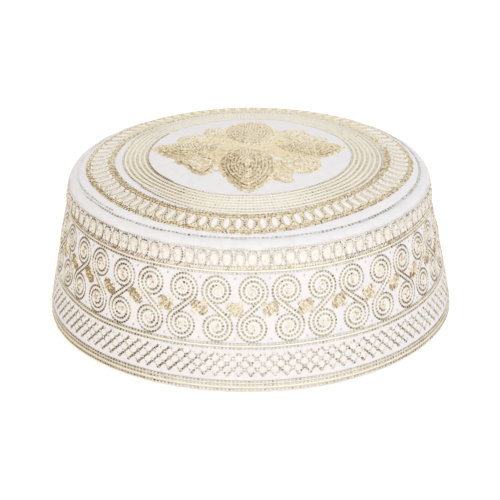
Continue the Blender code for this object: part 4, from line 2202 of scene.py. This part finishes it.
@dataclass(frozen=True)
class Kufi:
    """The cap and all that is sewn on it."""

    wall_cloth: Cotton = Cotton("band_cotton", (242, 234, 233), (232, 230, 235), Grain.ROUND)
    hem_cloth: Cotton = Cotton("hem_cotton", (243, 237, 229), (237, 229, 218), Grain.ROUND)
    edge_cloth: Cotton = Cotton("welt_cotton", (237, 234, 236), (230, 229, 231), Grain.ROUND)
    crown_cloth: Cotton = Cotton("crown_cotton", (242, 238, 240), (235, 233, 237), Grain.ACROSS)
    thread: ThreadFinish = ThreadFinish("embroidery_thread", 0.46, 0.5)
    cord: ThreadFinish = ThreadFinish("couched_cord", 0.62, 0.35)
    ground: ThreadFinish = ThreadFinish("thread_ground", 0.7, 0.3)

    def dress(self, piece: bpy.types.Object, slot: str, *nodes: str) -> None:
        """Say what a piece rides on, and hide the solids that it stands for.

        Args:
            piece: The piece.
            slot: Not used.
            nodes: The solids.
        """
        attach(piece, "root")
        if nodes:
            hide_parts(*nodes)
        triangles = len(piece.data.loops) - 2 * len(piece.data.polygons)
        LOG.info("%s: %d triangles", piece.name, triangles)

    def cloth(self) -> None:
        """Build the four pieces of cloth, each in place of its solid."""
        for shape, cotton, slot, node in (
            (CrownPanel(), self.crown_cloth, "crown_cotton", "crown_panel"),
            (RolledEdge(), self.edge_cloth, "welt_cotton", "crown_welt"),
            (SideBand(), self.wall_cloth, "band_cotton", "side_band"),
            (HemBand(), self.hem_cloth, "hem_cotton", "hem_band"),
        ):
            self.dress(shape.object(cotton.material()), slot, node)

    def wall(self, thread: bpy.types.Material, cord: bpy.types.Material) -> None:
        """Embroider the side band and the hem.

        Args:
            thread: The stitches' finish.
            cord: The cords' finish.
        """
        scroll_cords = Piping("scroll_cords", WALL, CHANNEL)
        scrolls = Needlework("scroll_stitches", WALL, 11)
        drop_pads = Piping("drop_border_padding", WALL, DROP_PAD)
        drops = Needlework("drop_border_stitches", WALL, 13)
        satin = Needlework("wall_satin_stitches", WALL, 12)
        lattice = Needlework("lattice_stitches", WALL, 14)
        level_cords = Piping("level_cords", WALL, CORD)
        levels = Needlework("level_stitches", WALL, 15)
        ScrollBand().work(scroll_cords, scrolls, satin)
        DropBorder().work(drop_pads, drops, satin)
        Lattice().work(lattice)
        WallLines().work(level_cords, levels)
        for sewn in (scroll_cords, scrolls, drop_pads, drops, satin, lattice):
            finish = cord if isinstance(sewn, Piping) else thread
            self.dress(sewn.object(finish), "band_cotton")
        self.dress(level_cords.object(cord), "hem_cotton")
        self.dress(levels.object(thread), "hem_cotton")

    def crown(
        self, thread: bpy.types.Material, cord: bpy.types.Material, ground: bpy.types.Material
    ) -> None:
        """Embroider the crown and its edge.

        Args:
            thread: The stitches' finish.
            cord: The cords' finish.
            ground: The padding's finish.
        """
        ring_pads = Piping("eyelet_ring_padding", CROWN, RING_PAD)
        ring = Needlework("eyelet_ring_stitches", CROWN, 16)
        ring_satin = Needlework("eyelet_ring_satin", CROWN, 17)
        row_pads = Piping("crown_row_padding", CROWN, ROW_PAD)
        row_cords = Piping("crown_row_cords", CROWN, ROW_CORD)
        rows = Needlework("crown_row_stitches", CROWN, 18)
        petal_pads = Piping("medallion_padding", CROWN, PETAL_PAD)
        petals = Needlework("medallion_stitches", CROWN, 19)
        topstitch = Needlework("topstitching", CROWN, 20)
        EyeletRing().work(ring_pads, ring, ring_satin)
        RowRing().work(row_pads, row_cords, rows)
        Medallion().work(petal_pads, petals)
        Topstitching().work(topstitch)
        for sewn, finish in (
            (ring_pads, ground), (ring, thread), (ring_satin, thread),
            (row_pads, ground), (row_cords, cord), (rows, thread),
            (petal_pads, ground), (petals, thread),
        ):
            self.dress(sewn.object(finish), "crown_cotton")
        self.dress(topstitch.object(thread), "welt_cotton")

    def build(self) -> None:
        """Build the cloth, then the embroidery."""
        self.cloth()
        thread, cord = self.thread.material(), self.cord.material()
        ground = self.ground.material()
        self.wall(thread, cord)
        self.crown(thread, cord, ground)


def corners(box: Any) -> list[list[float]]:
    """The two corners of a box as plain lists."""
    return [[round(float(value), 6) for value in corner] for corner in box]


def main() -> None:
    """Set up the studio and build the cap."""
    logging.basicConfig(level=logging.INFO, format="%(message)s")
    Studio().set_up()
    Kufi().build()
    sizes = {"cad": corners(SOLID_BOX), "visual": corners(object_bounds())}
    LOG.info("sizes: %s", sizes)


if __name__ == "__main__":
    main()
